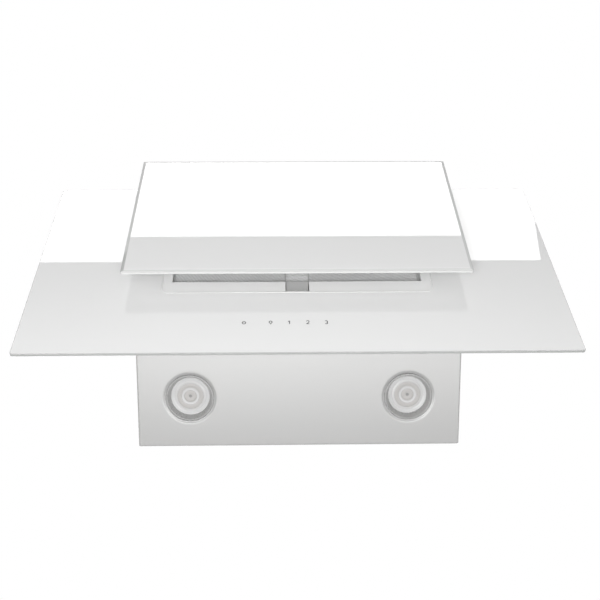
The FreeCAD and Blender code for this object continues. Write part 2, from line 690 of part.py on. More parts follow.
def motor_housing():
    shell = cylinder(MOTOR_R, MOTOR_X1 - MOTOR_X0, V(MOTOR_X0, FAN_Y, FAN_Z), X_AXIS)
    length = MOTOR_X1 - MOTOR_X0
    middle = (MOTOR_X0 + MOTOR_X1) / 2
    rim = [e for e in shell.Edges if abs(abs(e.CenterOfMass.x - middle) - length / 2) < 0.01]
    shell = shell.makeFillet(4, rim)
    room = length - 2 * MOTOR_END
    shell = shell.cut(cylinder(MOTOR_R - MOTOR_WALL, room, V(MOTOR_X0 + MOTOR_END, FAN_Y, FAN_Z), X_AXIS))
    return shell.cut(cylinder(BEARING_R, 80, V(MOTOR_X0 - 5, FAN_Y, FAN_Z), X_AXIS))


def shaft_bearings():
    seats = (MOTOR_X0 + 1, MOTOR_X1 - 8)
    return group([tube(BEARING_R, SHAFT_R + 0.04, BEARING_W, V(x, FAN_Y, FAN_Z), X_AXIS) for x in seats])


def around_fan(shape, angle):
    copy = shape.copy()
    copy.rotate(V(0, FAN_Y, FAN_Z), X_AXIS, angle)
    return copy


def motor_bracket():
    """Ring round the motor with three arms that bend back to the housing."""
    parts = [tube(MOTOR_R + 4, MOTOR_R, 8, V(MOTOR_X0 + MOTOR_END, FAN_Y, FAN_Z), X_AXIS)]
    x0 = SCROLL_HALF_W + 6
    arm = block(x0, x0 + 3, FAN_Y - 7, FAN_Y + 7, FAN_Z + MOTOR_R + 2, FAN_Z + MOTOR_ARM_R + 8)
    link = block(x0, MOTOR_X0 + 14, FAN_Y - 7, FAN_Y + 7, FAN_Z + MOTOR_R + 1, FAN_Z + MOTOR_R + 4)
    hole = cylinder(3.1, 10, V(x0 - 3, FAN_Y, FAN_Z + MOTOR_ARM_R), X_AXIS)
    foot = arm.fuse(link).cut(hole)
    return join(parts + [around_fan(foot, a) for a in MOTOR_ARM_ANGLES])


def motor_isolators():
    bush = tube(7, 2.6, 6, V(SCROLL_HALF_W, FAN_Y, FAN_Z + MOTOR_ARM_R), X_AXIS)
    return group([around_fan(bush, a) for a in MOTOR_ARM_ANGLES])


def motor_screws():
    seat = V(SCROLL_HALF_W + 9, FAN_Y, FAN_Z + MOTOR_ARM_R)
    one = screw(seat, X_AXIS, 9, r=2.5, head_r=4.8, head_h=2.6)
    return group([around_fan(one, a) for a in MOTOR_ARM_ANGLES])


# ---------------------------------------------------------------- outlet
def spigot_screw_points():
    rows = (OUTLET_Y - SPIGOT_SCREW_DY, OUTLET_Y + SPIGOT_SCREW_DY)
    return [V(x, y, TOP_Z + OUTLET_WALL) for x in (-SPIGOT_SCREW_X, SPIGOT_SCREW_X) for y in rows]


def outlet_spigot():
    """Round collar on a square foot, with two pin holes and stops for the flaps."""
    side = OUTLET_FOOT
    foot = rounded_block(-side, side, OUTLET_Y - side, OUTLET_Y + side, TOP_Z, TOP_Z + OUTLET_WALL, 10)
    centre = V(0, OUTLET_Y, TOP_Z)
    collar = tube(OUTLET_R, OUTLET_R - OUTLET_WALL, OUTLET_H, centre)
    bore = cylinder(OUTLET_R - OUTLET_WALL, OUTLET_H, centre)
    stops = []
    for y in (OUTLET_Y - 70, OUTLET_Y + 70):
        stops.append(block(-5, 5, y - 6, y + 6, FLAP_PIN_Z - 3, FLAP_PIN_Z - 0.8).common(bore))
    spigot = join([foot.cut(bore), collar] + stops)
    pin_hole = cylinder(FLAP_PIN_R + 0.05, 2 * OUTLET_R + 4, V(-OUTLET_R - 2, OUTLET_Y, FLAP_PIN_Z), X_AXIS)
    spigot = spigot.cut(pin_hole)
    for point in spigot_screw_points():
        spigot = spigot.cut(cylinder(SCREW_HOLE_R, 4, point - V(0, 0, 3)))
    return spigot


def damper_pin():
    half = OUTLET_R - 0.3
    return cylinder(FLAP_PIN_R, 2 * half, V(-half, OUTLET_Y, FLAP_PIN_Z), X_AXIS)


def damper_flap(side):
    """Half disc (side -1 is the room side) with two sleeves that share the pin."""
    centre = V(0, OUTLET_Y, FLAP_PIN_Z - 0.5)
    disc = cylinder(OUTLET_R - OUTLET_WALL - FLAP_GAP, 1, centre)
    keep = block(-80, 80, OUTLET_Y + 4.8, OUTLET_Y + 90, FLAP_PIN_Z - 2, FLAP_PIN_Z + 2)
    parts = [disc.common(keep)]
    for x0 in (-60.0, 2.0):
        parts.append(cylinder(4, 27, V(x0, OUTLET_Y, FLAP_PIN_Z), X_AXIS))
        parts.append(block(x0, x0 + 27, OUTLET_Y + 2, OUTLET_Y + 6, FLAP_PIN_Z - 0.5, FLAP_PIN_Z + 0.5))
    flap = join(parts).cut(cylinder(FLAP_PIN_R + 0.06, 200, V(-100, OUTLET_Y, FLAP_PIN_Z), X_AXIS))
    if side < 0:
        flap.rotate(V(0, OUTLET_Y, 0), Z_AXIS, 180)
    return flap


# ---------------------------------------------------------------- electrics
def control_box():
    w = BOX_WALL
    box = rounded_block(BOX_X0, BOX_X1, -BOX_DEPTH, -SHEET, BOX_Z0, BOX_Z1, 0.5)
    hollow = block(BOX_X0 + w, BOX_X1 - w, -BOX_DEPTH - 2, -SHEET - w, BOX_Z0 + w, BOX_Z1 - w)
    return box.cut(hollow)


def control_lid():
    y0 = -BOX_DEPTH
    lid = block(BOX_X0 - 1, BOX_X1 + 1, y0 - BOX_WALL, y0, BOX_Z0 - 1, BOX_Z1 + 1)
    rim = block(BOX_X0 + 2.3, BOX_X1 - 2.3, y0, y0 + 4, BOX_Z0 + 2.3, BOX_Z1 - 2.3)
    core = block(BOX_X0 + 4, BOX_X1 - 4, y0, y0 + 4, BOX_Z0 + 4, BOX_Z1 - 4)
    return join([lid, rim.cut(core)])


def control_board():
    """Power board on four feet, with a transformer, a relay row and a driver block."""
    board = block(BOX_X0 + 8, BOX_X1 - 8, -12, -12 + BOARD_T, BOX_Z0 + 8, BOX_Z1 - 8)
    feet = [cylinder(3, 7.5, V(x, -10.5, z), V(0, 1, 0)) for x in (BOX_X0 + 14, BOX_X1 - 14)
            for z in (BOX_Z0 + 14, BOX_Z1 - 14)]
    parts = [block(BOX_X0 + 20, BOX_X0 + 54, -38, -12, BOX_Z0 + 20, BOX_Z0 + 50)]
    for i in range(4):
        x0 = BOX_X0 + 22 + 20 * i
        parts.append(block(x0, x0 + 15, -27, -12, BOX_Z1 - 40, BOX_Z1 - 22))
    parts.append(block(BOX_X1 - 44, BOX_X1 - 20, -32, -12, BOX_Z0 + 22, BOX_Z0 + 46))
    return join([board] + feet + parts)


def cable_gland():
    centre = V(GLAND_X, GLAND_Y, TOP_Z)
    corners = [math.radians(60 * i) for i in range(7)]
    hexagon = Part.makePolygon([V(GLAND_NUT_R * math.cos(a), GLAND_NUT_R * math.sin(a), 0) for a in corners])
    nut = Part.Face(hexagon).extrude(V(0, 0, 6))
    nut.translate(centre)
    neck = turned([(0, 6), (9.5, 6), (9.5, 14), (7.5, 18), (0, 18)], centre)
    thread = cylinder(8.1, 9, centre - V(0, 0, 9))
    lock = tube(11.5, 8.1, 4, centre - V(0, 0, 5))
    gland = join([nut, neck, thread, lock])
    return gland.cut(cylinder(GLAND_BORE_R, 40, centre - V(0, 0, 12)))


def capacitor():
    """Motor capacitor: a round can with two blade tags, held in a clip on the back plate."""
    centre = V(CAPACITOR_X, CAPACITOR_Y, CAPACITOR_Z)
    can = cylinder(CAPACITOR_R, CAPACITOR_H, centre)
    top = CAPACITOR_Z + CAPACITOR_H
    rim = [e for e in can.Edges if e.CenterOfMass.z > top - 1]
    can = can.makeFillet(2, rim)
    tags = []
    for x0 in (CAPACITOR_X - 4, CAPACITOR_X + 2):
        tags.append(block(x0, x0 + 2, CAPACITOR_Y - 1, CAPACITOR_Y, top - 1, top + 6))
    band_z = CAPACITOR_Z + 22
    level = V(CAPACITOR_X, CAPACITOR_Y, band_z)
    band = tube(CAPACITOR_R + 1.5, CAPACITOR_R + 0.05, 16, level)
    band = band.cut(block(CAPACITOR_X - 20, CAPACITOR_X + 20, -60, -36, band_z - 2, band_z + 18))
    foot = block(CAPACITOR_X - 14, CAPACITOR_X + 14, -10.5, -SHEET, band_z, band_z + 16)
    foot = foot.cut(cylinder(CAPACITOR_R + 1.4, 16, level))
    return group([join([can] + tags), join([band, foot])])


# ---------------------------------------------------------------- screws and wiring
def top_screws():
    points = flange_screw_points() + spigot_screw_points()
    return group([screw(p, Z_AXIS, 7) for p in points])


def hinge_screws():
    down = V(0, 0, -1)
    return group([stand_up(screw(V(x, u, FRAME_N - 3), down, 4)) for x, u in hinge_screw_points()])


def lead(points, radius):
    """Round lead along straight runs joined by arcs tangent to them."""
    edges = []
    start = points[0]
    for before, corner, after in zip(points, points[1:], points[2:]):
        a = (corner - before).normalize()
        b = (after - corner).normalize()
        half_turn = a.getAngle(b) / 2
        back_off = 0.45 * min((corner - before).Length, (after - corner).Length)
        bend = back_off / math.tan(half_turn)
        first = corner - a * back_off
        last = corner + b * back_off
        inward = (b - a).normalize()
        middle = corner + inward * (bend / math.cos(half_turn) - bend)
        edges.append(Part.makeLine(start, first))
        edges.append(Part.Arc(first, middle, last).toShape())
        start = last
    edges.append(Part.makeLine(start, points[-1]))
    path = Part.Wire(edges)
    ring = Part.Wire(Part.makeCircle(radius, points[0], points[1] - points[0]))
    return path.makePipeShell([ring], True, True)


def lamp_leads():
    return group([lamp_lead(side) for side in (-1, 1)])


def lamp_lead(side):
    """Runs from the lamp's side up the side panel, to the control box or to the back plate."""
    roof = BOTTOM_Z + LAMP_ROOF
    x = side * (LAMP_X + 36)
    start = V(side * (LAMP_X + LENS_R + 4), LAMP_Y, roof - 8)
    points = [start, V(x + side * 10, LAMP_Y, roof - 2), V(side * 236, LAMP_Y + 6, roof + 34)]
    points += [V(side * 240, -66, -60), V(side * 238, -46, -4)]
    if side < 0:
        points += [V(-225, -30, 22), V(-222, -28, BOX_Z0 - 1)]
    else:
        points += [V(228, -14, 36), V(216, -12, 58)]
    return lead(points, LEAD_R)


def main():
    os.makedirs("parts", exist_ok=True)
    save("back_plate", back_plate())
    panel = side_panel()
    save("side_panel_right", panel)
    save("side_panel_left", mirror_x(panel))
    save("bottom_plate", bottom_plate())
    save("top_plate", top_plate())
    save("front_frame", front_frame())
    save("front_glass", front_glass())
    save("bonding_tape", bonding_tape())
    save("intake_surround", intake_surround())
    save("filter_frame", filter_frame())
    save("filter_mesh", filter_mesh())
    save("filter_latch", filter_latch())
    save("latch_springs", latch_springs())
    save("touch_housing", touch_housing())
    save("touch_board", touch_board())
    save("panel_tray", panel_tray())
    save("panel_back", panel_back())
    save("panel_glass", panel_glass())
    save("catch_strikes", catch_strikes())
    save("panel_catches", panel_catches())
    save("hinge_pins", hinge_pins())
    for name, side in (("left", -1), ("right", 1)):
        save(f"hinge_bracket_{name}", hinge_bracket(side * HINGE_X))
        save(f"hinge_lug_{name}", hinge_lug(side * HINGE_X))
        save(f"scroll_{name}", scroll_half(side))
        centre = V(side * LAMP_X, LAMP_Y, BOTTOM_Z)
        save(f"lamp_bezel_{name}", lamp_bezel(centre))
        save(f"lamp_lens_{name}", lamp_lens(centre))
        save(f"lamp_reflector_{name}", lamp_reflector(centre))
        save(f"lamp_board_{name}", lamp_board(centre))
        save(f"lamp_housing_{name}", lamp_housing(centre))
        save(f"lamp_clips_{name}", lamp_clips(centre))
    save("impeller", impeller())
    save("fan_shaft", fan_shaft())
    save("motor_rotor", motor_rotor())
    save("motor_stator", motor_stator())
    save("motor_housing", motor_housing())
    save("shaft_bearings", shaft_bearings())
    save("motor_bracket", motor_bracket())
    save("motor_isolators", motor_isolators())
    save("motor_screws", motor_screws())
    save("outlet_spigot", outlet_spigot())
    save("damper_pin", damper_pin())
    save("damper_flap_front", damper_flap(-1))
    save("damper_flap_rear", damper_flap(1))
    save("control_box", control_box())
    save("control_lid", control_lid())
    save("control_board", control_board())
    save("cable_gland", cable_gland())
    save("capacitor", capacitor())
    save("top_screws", top_screws())
    save("hinge_screws", hinge_screws())
    save("lamp_leads", lamp_leads())


main()
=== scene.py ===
# %% [markdown]
# # An inclined cooker hood, dressed in Blender
#
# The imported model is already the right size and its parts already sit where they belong. This lesson gives
# the hood its surfaces: painted glass, brushed and galvanised sheet, expanded mesh, moulded plastic and the
# two lamps. Every new piece is worked out with numpy as a surface of two parameters, in metres, in the frame
# of the model: X runs along the wall, Y into the wall and Z up.

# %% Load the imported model
import json
import math

import bmesh
import bpy
import numpy as np
from mathutils import Euler, Matrix, Vector


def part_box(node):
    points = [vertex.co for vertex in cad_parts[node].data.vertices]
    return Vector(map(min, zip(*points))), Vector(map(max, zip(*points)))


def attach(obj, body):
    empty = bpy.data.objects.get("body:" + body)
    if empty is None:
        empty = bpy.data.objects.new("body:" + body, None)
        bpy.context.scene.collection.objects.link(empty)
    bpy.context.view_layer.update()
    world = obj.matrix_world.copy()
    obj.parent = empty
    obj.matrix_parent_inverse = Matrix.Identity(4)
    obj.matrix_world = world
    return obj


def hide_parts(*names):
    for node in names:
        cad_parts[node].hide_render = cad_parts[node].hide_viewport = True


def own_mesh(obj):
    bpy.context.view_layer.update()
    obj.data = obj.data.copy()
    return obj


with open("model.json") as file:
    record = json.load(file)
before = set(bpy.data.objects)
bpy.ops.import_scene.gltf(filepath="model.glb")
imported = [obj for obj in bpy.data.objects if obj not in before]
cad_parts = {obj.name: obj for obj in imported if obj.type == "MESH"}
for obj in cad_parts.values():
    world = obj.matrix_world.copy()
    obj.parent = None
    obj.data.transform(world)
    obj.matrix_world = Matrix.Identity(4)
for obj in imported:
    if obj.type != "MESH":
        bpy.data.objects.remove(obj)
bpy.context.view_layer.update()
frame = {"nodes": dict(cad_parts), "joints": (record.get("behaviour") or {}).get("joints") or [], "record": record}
nodes = frame["nodes"]

# %% [markdown]
# ## The leaning frame of reference
#
# The glass leans out over the hob. Instead of repeating sines and cosines, one small frame of reference does
# it: `across` along the wall, `upslope` up the glass and `outward` off its face. The filter's latch slides
# straight up the glass and the panel turns about a pin at a known place, so the joints give all of it.

# %% Read the leaning frame from the joints
MM = 0.001
joint = {j["name"]: j for j in frame["joints"]}
across = np.array([1.0, 0.0, 0.0])
upslope = np.array(joint["latch_slide"]["axis"], float)
upslope /= np.linalg.norm(upslope)
outward = np.cross(across, upslope)
PIN_ALONG_MM = 512.0
PIN_OUT_MM = 14.0
hinge_pin = np.array(joint["panel_hinge"]["pos_m"], float)
foot = hinge_pin - upslope * PIN_ALONG_MM * MM - outward * PIN_OUT_MM * MM


def on_slope(x, u, n):
    """Leaning millimetres to metres of the frame: foot + x times across + u times upslope + n times outward."""
    x, u, n = np.broadcast_arrays(np.asarray(x, float), np.asarray(u, float), np.asarray(n, float))
    return foot + MM * (x[..., None] * across + u[..., None] * upslope + n[..., None] * outward)


print("foot of the glass", np.round(foot, 4), "upslope", np.round(upslope, 4), "outward", np.round(outward, 4))

# %% [markdown]
# ## Camera
#
# The hood hangs above eye level and is looked at from well below, so the camera stands under it and looks
# up. A 60 mm lens keeps the two long edges of the glass only slightly converging. The view transform is set
# to Standard, because the default one would turn clean white glass grey.

# %% Put the camera under the hood
CAMERA_PLACE = (-0.0332, -0.5619, -1.7300)
CAMERA_TURN_DEG = (167.951, 1.309, 0.043)
LENS_MM = 59.99
camera_data = bpy.data.cameras.new("camera")
camera_data.lens = LENS_MM
camera_data.sensor_width = 36.0
camera_data.clip_end = 60.0
camera = bpy.data.objects.new("camera", camera_data)
camera.location = CAMERA_PLACE
camera.rotation_euler = Euler([math.radians(a) for a in CAMERA_TURN_DEG], "XYZ")
bpy.context.scene.collection.objects.link(camera)
bpy.context.scene.camera = camera
bpy.context.scene.view_settings.view_transform = "Standard"
print("camera at", CAMERA_PLACE, "with a lens of", LENS_MM, "mm")

# %% [markdown]
# ## Soft light for a white mirror
#
# White glass is half paint and half mirror: it shows what stands in front of it. A wide soft light high in
# front of the hood makes the bright upper half of the reflection, and its lower edge makes the straight
# border across the glass, so it is set to show in reflections only. It ends where the flat faces stop seeing
# it, so the slanting bevels mirror the dimmer room and draw grey lines, and a small black flag on the left
# darkens the lower end of one bevel. A wide fill below the hood lights the paint evenly, even under the
# panel, and shows in no reflection, so paint and mirror can be set apart.

# %% Lay the floor and hang the lights
FLOOR_Z = -2.35
FLOOR_HALF = 9.0
BOX_EDGE_Z = 0.625
BOX_TALL = 0.30
BOX_WIDE = 1.50
BOX_Y = -1.294
BOX_MIDDLE = BOX_EDGE_Z + BOX_TALL / 2


def soft_light(name, place, aim, size, radiance, shows_on="both"):
    """A rectangular light of even brightness: watts are pi times its area times its radiance."""
    data = bpy.data.lights.new(name, "AREA")
    data.shape = "RECTANGLE"
    data.size, data.size_y = size
    data.energy = math.pi * size[0] * size[1] * radiance
    light = bpy.data.objects.new(name, data)
    light.location = place
    light.rotation_euler = (Vector(aim) - Vector(place)).to_track_quat("-Z", "Y").to_euler()
    light.visible_camera = False
    light.visible_diffuse = shows_on != "gloss"
    light.visible_glossy = shows_on != "paint"
    bpy.context.scene.collection.objects.link(light)
    print("light", name, round(data.energy, 1), "W")


floor_mesh = bpy.data.meshes.new("studio_floor")
floor_corners = [(-FLOOR_HALF, -FLOOR_HALF), (FLOOR_HALF, -FLOOR_HALF), (FLOOR_HALF, FLOOR_HALF), (-FLOOR_HALF, FLOOR_HALF)]
floor_mesh.from_pydata([(x, y, FLOOR_Z) for x, y in floor_corners], [], [(0, 1, 2, 3)])
floor = bpy.data.objects.new("studio_floor", floor_mesh)
bpy.context.scene.collection.objects.link(floor)
flag_mesh = bpy.data.meshes.new("black_flag")
FLAG_X, FLAG_Z = (-1.25, -0.79), (0.10, 0.745)
flag_corners = [(FLAG_X[i], BOX_Y, FLAG_Z[j]) for i, j in ((0, 0), (1, 0), (1, 1), (0, 1))]
flag_mesh.from_pydata(flag_corners, [], [(0, 1, 2, 3)])
flag = bpy.data.objects.new("black_flag", flag_mesh)
flag.visible_camera = False
flag.visible_diffuse = False
flag.visible_shadow = False
bpy.context.scene.collection.objects.link(flag)
soft_light("upper_softbox", (0, BOX_Y, BOX_MIDDLE), (0, 0, BOX_MIDDLE), (BOX_WIDE, BOX_TALL), 5.5, "gloss")
soft_light("front_fill", (-0.25, -1.0, -2.1), (0, -0.2, 0.0), (1.5, 1.5), 0.3, "paint")
soft_light("under_fill", (-0.15, -0.14, -2.2), (0, -0.15, 0.0), (1.4, 0.9), 21.5, "paint")
soft_light("floor_card", (0, -0.05, -2.3), (0, -0.05, 0.0), (2.4, 1.2), 2.6, "gloss")
soft_light("rear_fill", (1.7, 2.3, 1.2), (0, -0.1, 0.0), (1.6, 1.6), 2.2)
soft_light("overhead", (-0.8, 0.6, 2.4), (0, -0.1, 0.0), (1.6, 1.6), 1.4)

# %% [markdown]
# ## A white room
#
# The room round the hood is a plain white world. What the camera sees of it is pure white; the paint and the
# mirrors see a dimmer one, or every surface would wash out. The Light Path node tells these rays apart.

# %% Paint the world
WORLD_SEEN = 1.0
WORLD_ON_PAINT = 0.30
WORLD_IN_MIRRORS = 1.5
world = bpy.data.worlds.new("studio")
bpy.context.scene.world = world
world.use_nodes = True
sky = world.node_tree
sky.nodes.clear()


def add_node(tree, kind, sockets=None, **settings):
    """Adds a shader node; a socket gets either a plain value or a link from another node's output."""
    node = tree.nodes.new("ShaderNode" + kind)
    for name, value in settings.items():
        setattr(node, name, value)
    for name, value in (sockets or {}).items():
        if isinstance(value, bpy.types.NodeSocket):
            tree.links.new(value, node.inputs[name])
        else:
            node.inputs[name].default_value = value
    return node


ray = add_node(sky, "LightPath")
shades = [add_node(sky, "Background", {"Strength": s}) for s in (WORLD_ON_PAINT, WORLD_IN_MIRRORS, WORLD_SEEN)]
for shade in shades:
    shade.inputs["Color"].default_value = (1.0, 1.0, 1.0, 1.0)
lit = add_node(sky, "MixShader", {0: ray.outputs["Is Glossy Ray"], 1: shades[0].outputs[0], 2: shades[1].outputs[0]})
seen = add_node(sky, "MixShader", {0: ray.outputs["Is Camera Ray"], 1: lit.outputs[0], 2: shades[2].outputs[0]})
add_node(sky, "OutputWorld", {"Surface": seen.outputs[0]})
print("world:", WORLD_SEEN, "seen,", WORLD_ON_PAINT, "on paint,", WORLD_IN_MIRRORS, "in mirrors")

# %% [markdown]
# ## Effects shared by several finishes
#
# Real surfaces share a handful of small-scale effects: the grain that brushing leaves, the fine pebbled skin
# of a moulding, the crystals of zinc, edges that years of cleaning have rounded and brightened, and dust on
# whatever faces up. Each is built once as a node group, and each finish places it with its own values.

# %% A helper that opens an effect
SOCKETS = {"vector": "NodeSocketVector", "value": "NodeSocketFloat", "colour": "NodeSocketColor"}


def open_effect(name, takes, gives):
    """Makes an empty node group with named sockets and returns it with its entry and exit nodes."""
    group = bpy.data.node_groups.new(name, "ShaderNodeTree")
    for label, kind in takes.items():
        group.interface.new_socket(label, in_out="INPUT", socket_type=SOCKETS[kind])
    for label, kind in gives.items():
        group.interface.new_socket(label, in_out="OUTPUT", socket_type=SOCKETS[kind])
    return group, group.nodes.new("NodeGroupInput"), group.nodes.new("NodeGroupOutput")


def sum_up(tree, operation, first, second=None, third=None, clamp=False):
    """One Math node; returns its output socket."""
    node = add_node(tree, "Math", operation=operation, use_clamp=clamp)
    for slot_number, value in enumerate((first, second, third)):
        if isinstance(value, bpy.types.NodeSocket):
            tree.links.new(value, node.inputs[slot_number])
        elif value is not None:
            node.inputs[slot_number].default_value = value
    return node.outputs[0]


# %% [markdown]
# ### Brushed grain
#
# Brushing leaves long fine scratches of uneven depth over slow blotches. A Noise texture stretched a hundred
# times along one axis gives the scratches. An image would tile; the noise never does.

# %% Effect: brushed grain
grain, entry, leave = open_effect("brushed_grain", {"Position": "vector"}, {"Tone": "value", "Height": "value"})
scratches = add_node(grain, "TexNoise", {"Vector": entry.outputs["Position"], "Scale": 1.0, "Detail": 3.0, "Roughness": 0.65})
blotches = add_node(grain, "TexNoise", {"Vector": entry.outputs["Position"], "Scale": 0.035, "Detail": 2.0})
grain.links.new(scratches.outputs["Fac"], leave.inputs["Height"])
mixed = sum_up(grain, "MULTIPLY_ADD", scratches.outputs["Fac"], 0.6, sum_up(grain, "MULTIPLY", blotches.outputs["Fac"], 0.4))
grain.links.new(mixed, leave.inputs["Tone"])
print("effect", grain.name)

# %% [markdown]
# ### Moulded skin
#
# A mould is spark-eroded, so the plastic comes out with a fine pebbled skin. Voronoi cells with smoothed
# borders give the pebbles, and a slower noise lets the skin wear a little shinier in places.

# %% Effect: moulded skin
skin, entry, leave = open_effect("moulded_skin", {"Position": "vector"}, {"Tone": "value", "Height": "value"})
pebbles = add_node(skin, "TexVoronoi", {"Vector": entry.outputs["Position"], "Scale": 1.0, "Smoothness": 0.6}, feature="SMOOTH_F1")
shine = add_node(skin, "TexNoise", {"Vector": entry.outputs["Position"], "Scale": 0.02, "Detail": 3.0})
skin.links.new(pebbles.outputs["Distance"], leave.inputs["Height"])
skin.links.new(shine.outputs["Fac"], leave.inputs["Tone"])
print("effect", skin.name)

# %% [markdown]
# ### Zinc spangle
#
# Hot-dip zinc freezes into flat crystals a centimetre across, each reflecting a little differently. A
# Voronoi cell's own random colour gives each crystal its grey.

# %% Effect: zinc spangle
spangle, entry, leave = open_effect("zinc_spangle", {"Position": "vector"}, {"Tone": "value", "Height": "value"})
warp = add_node(spangle, "TexNoise", {"Vector": entry.outputs["Position"], "Scale": 2.2, "Detail": 3.0})
WARP = (0.35, 0.35, 0.35)
pushed = {0: warp.outputs["Color"], 1: WARP, 2: entry.outputs["Position"]}
shifted = add_node(spangle, "VectorMath", pushed, operation="MULTIPLY_ADD")
crystals = add_node(spangle, "TexVoronoi", {"Vector": shifted.outputs[0], "Scale": 1.0}, feature="F1")
crystal_grey = add_node(spangle, "SeparateColor", {"Color": crystals.outputs["Color"]})
feather = add_node(spangle, "TexNoise", {"Vector": entry.outputs["Position"], "Scale": 9.0, "Detail": 4.0})
zinc_tone = sum_up(spangle, "MULTIPLY_ADD", crystal_grey.outputs[0], 0.7, sum_up(spangle, "MULTIPLY", feather.outputs["Fac"], 0.3))
spangle.links.new(zinc_tone, leave.inputs["Tone"])
spangle.links.new(feather.outputs["Fac"], leave.inputs["Height"])
print("effect", spangle.name)

# %% [markdown]
# ### Handled edges
#
# No folded or cast edge is perfectly sharp, and a sharp edge gives a model away. The Bevel node looks round
# the edge and returns a rounded normal. Where that normal leaves the true one there is an edge, which also
# gives the mask for brightening it.

# %% Effect: handled edges
handled, entry, leave = open_effect("handled_edges", {"Radius": "value"}, {"Mask": "value", "Normal": "vector"})
rounded = add_node(handled, "Bevel", {"Radius": entry.outputs["Radius"]}, samples=4)
true_face = add_node(handled, "NewGeometry")
agree = add_node(handled, "VectorMath", {0: rounded.outputs[0], 1: true_face.outputs["Normal"]}, operation="DOT_PRODUCT")
apart = sum_up(handled, "SUBTRACT", 1.0, agree.outputs["Value"])
handled.links.new(sum_up(handled, "MULTIPLY", apart, 6.0, clamp=True), leave.inputs["Mask"])
handled.links.new(rounded.outputs[0], leave.inputs["Normal"])
print("effect", handled.name)

# %% [markdown]
# ### Settled dust
#
# The top of a hood is the last place anyone wipes. Dust lies on whatever faces up and thins out in patches.
# The object-space normal says which way a face looks, at every pose alike.

# %% Effect: settled dust
dust, entry, leave = open_effect("settled_dust", {"Position": "vector", "Amount": "value"}, {"Mask": "value"})
facing = add_node(dust, "SeparateXYZ", {"Vector": add_node(dust, "TexCoord").outputs["Normal"]})
patches = add_node(dust, "TexNoise", {"Vector": entry.outputs["Position"], "Scale": 14.0, "Detail": 5.0, "Roughness": 0.7})
upward = add_node(dust, "MapRange", {"Value": facing.outputs["Z"], "From Min": 0.3, "From Max": 0.95})
patchy = add_node(dust, "MapRange", {"Value": patches.outputs["Fac"], "From Min": 0.35, "From Max": 0.7})
settled = sum_up(dust, "MULTIPLY", upward.outputs[0], patchy.outputs[0])
dust.links.new(sum_up(dust, "MULTIPLY", settled, entry.outputs["Amount"]), leave.inputs["Mask"])
print("effect", dust.name)

# %% [markdown]
# ## Finishes
#
# A finish is one material with one Principled shader. What is even over the whole surface is set straight on
# the shader's sockets; what varies comes from the shared effects. Patterns read Object coordinates, because
# every piece keeps its object at the origin, so a pattern stays put when its part swings open.

# %% Helpers for finishes
finishes = {}


def new_finish(name, settings):
    """A material with its Principled shader, even values set on the shader's own sockets."""
    material = bpy.data.materials.new(name)
    material.use_nodes = True
    tree = material.node_tree
    shader = tree.nodes["Principled BSDF"]
    for socket, value in settings.items():
        shader.inputs[socket].default_value = value
    finishes[name] = material
    return tree, shader, add_node(tree, "TexCoord").outputs["Object"]


def use_effect(tree, group, sockets):
    """Places a shared effect in a material with its own values."""
    node = tree.nodes.new("ShaderNodeGroup")
    node.node_tree = group
    for name, value in sockets.items():
        if isinstance(value, bpy.types.NodeSocket):
            tree.links.new(value, node.inputs[name])
        else:
            node.inputs[name].default_value = value
    return node


def stretched(tree, coordinates, scale, turn=(0.0, 0.0, 0.0)):
    """Coordinates multiplied axis by axis, so one metre becomes that many units of pattern."""
    sockets = {"Vector": coordinates, "Scale": scale, "Rotation": turn}
    return add_node(tree, "Mapping", sockets).outputs["Vector"]


def between(tree, mask, low, high, start=0.0, end=1.0):
    """A mask from start to end becomes a number from low to high."""
    sockets = {"Value": mask, "From Min": start, "From Max": end, "To Min": low, "To Max": high}
    return add_node(tree, "MapRange", sockets).outputs[0]


def blended(tree, mask, first, second):
    """The first colour where the mask is 0, the second where it is 1; each is a colour or a socket."""
    mix = add_node(tree, "Mix", {0: mask}, data_type="RGBA")
    for socket, value in ((mix.inputs[6], first), (mix.inputs[7], second)):
        if isinstance(value, bpy.types.NodeSocket):
            tree.links.new(value, socket)
        else:
            socket.default_value = (*value, 1.0)
    return mix.outputs[2]


def relief(tree, shader, height, depth, normal=None):
    """Shallow relief: height from 0 to 1 times depth in metres, on top of an already rounded normal."""
    bump = add_node(tree, "Bump", {"Height": height, "Distance": depth, "Strength": 1.0})
    if normal is not None:
        tree.links.new(normal, bump.inputs["Normal"])
    tree.links.new(bump.outputs[0], shader.inputs["Normal"])
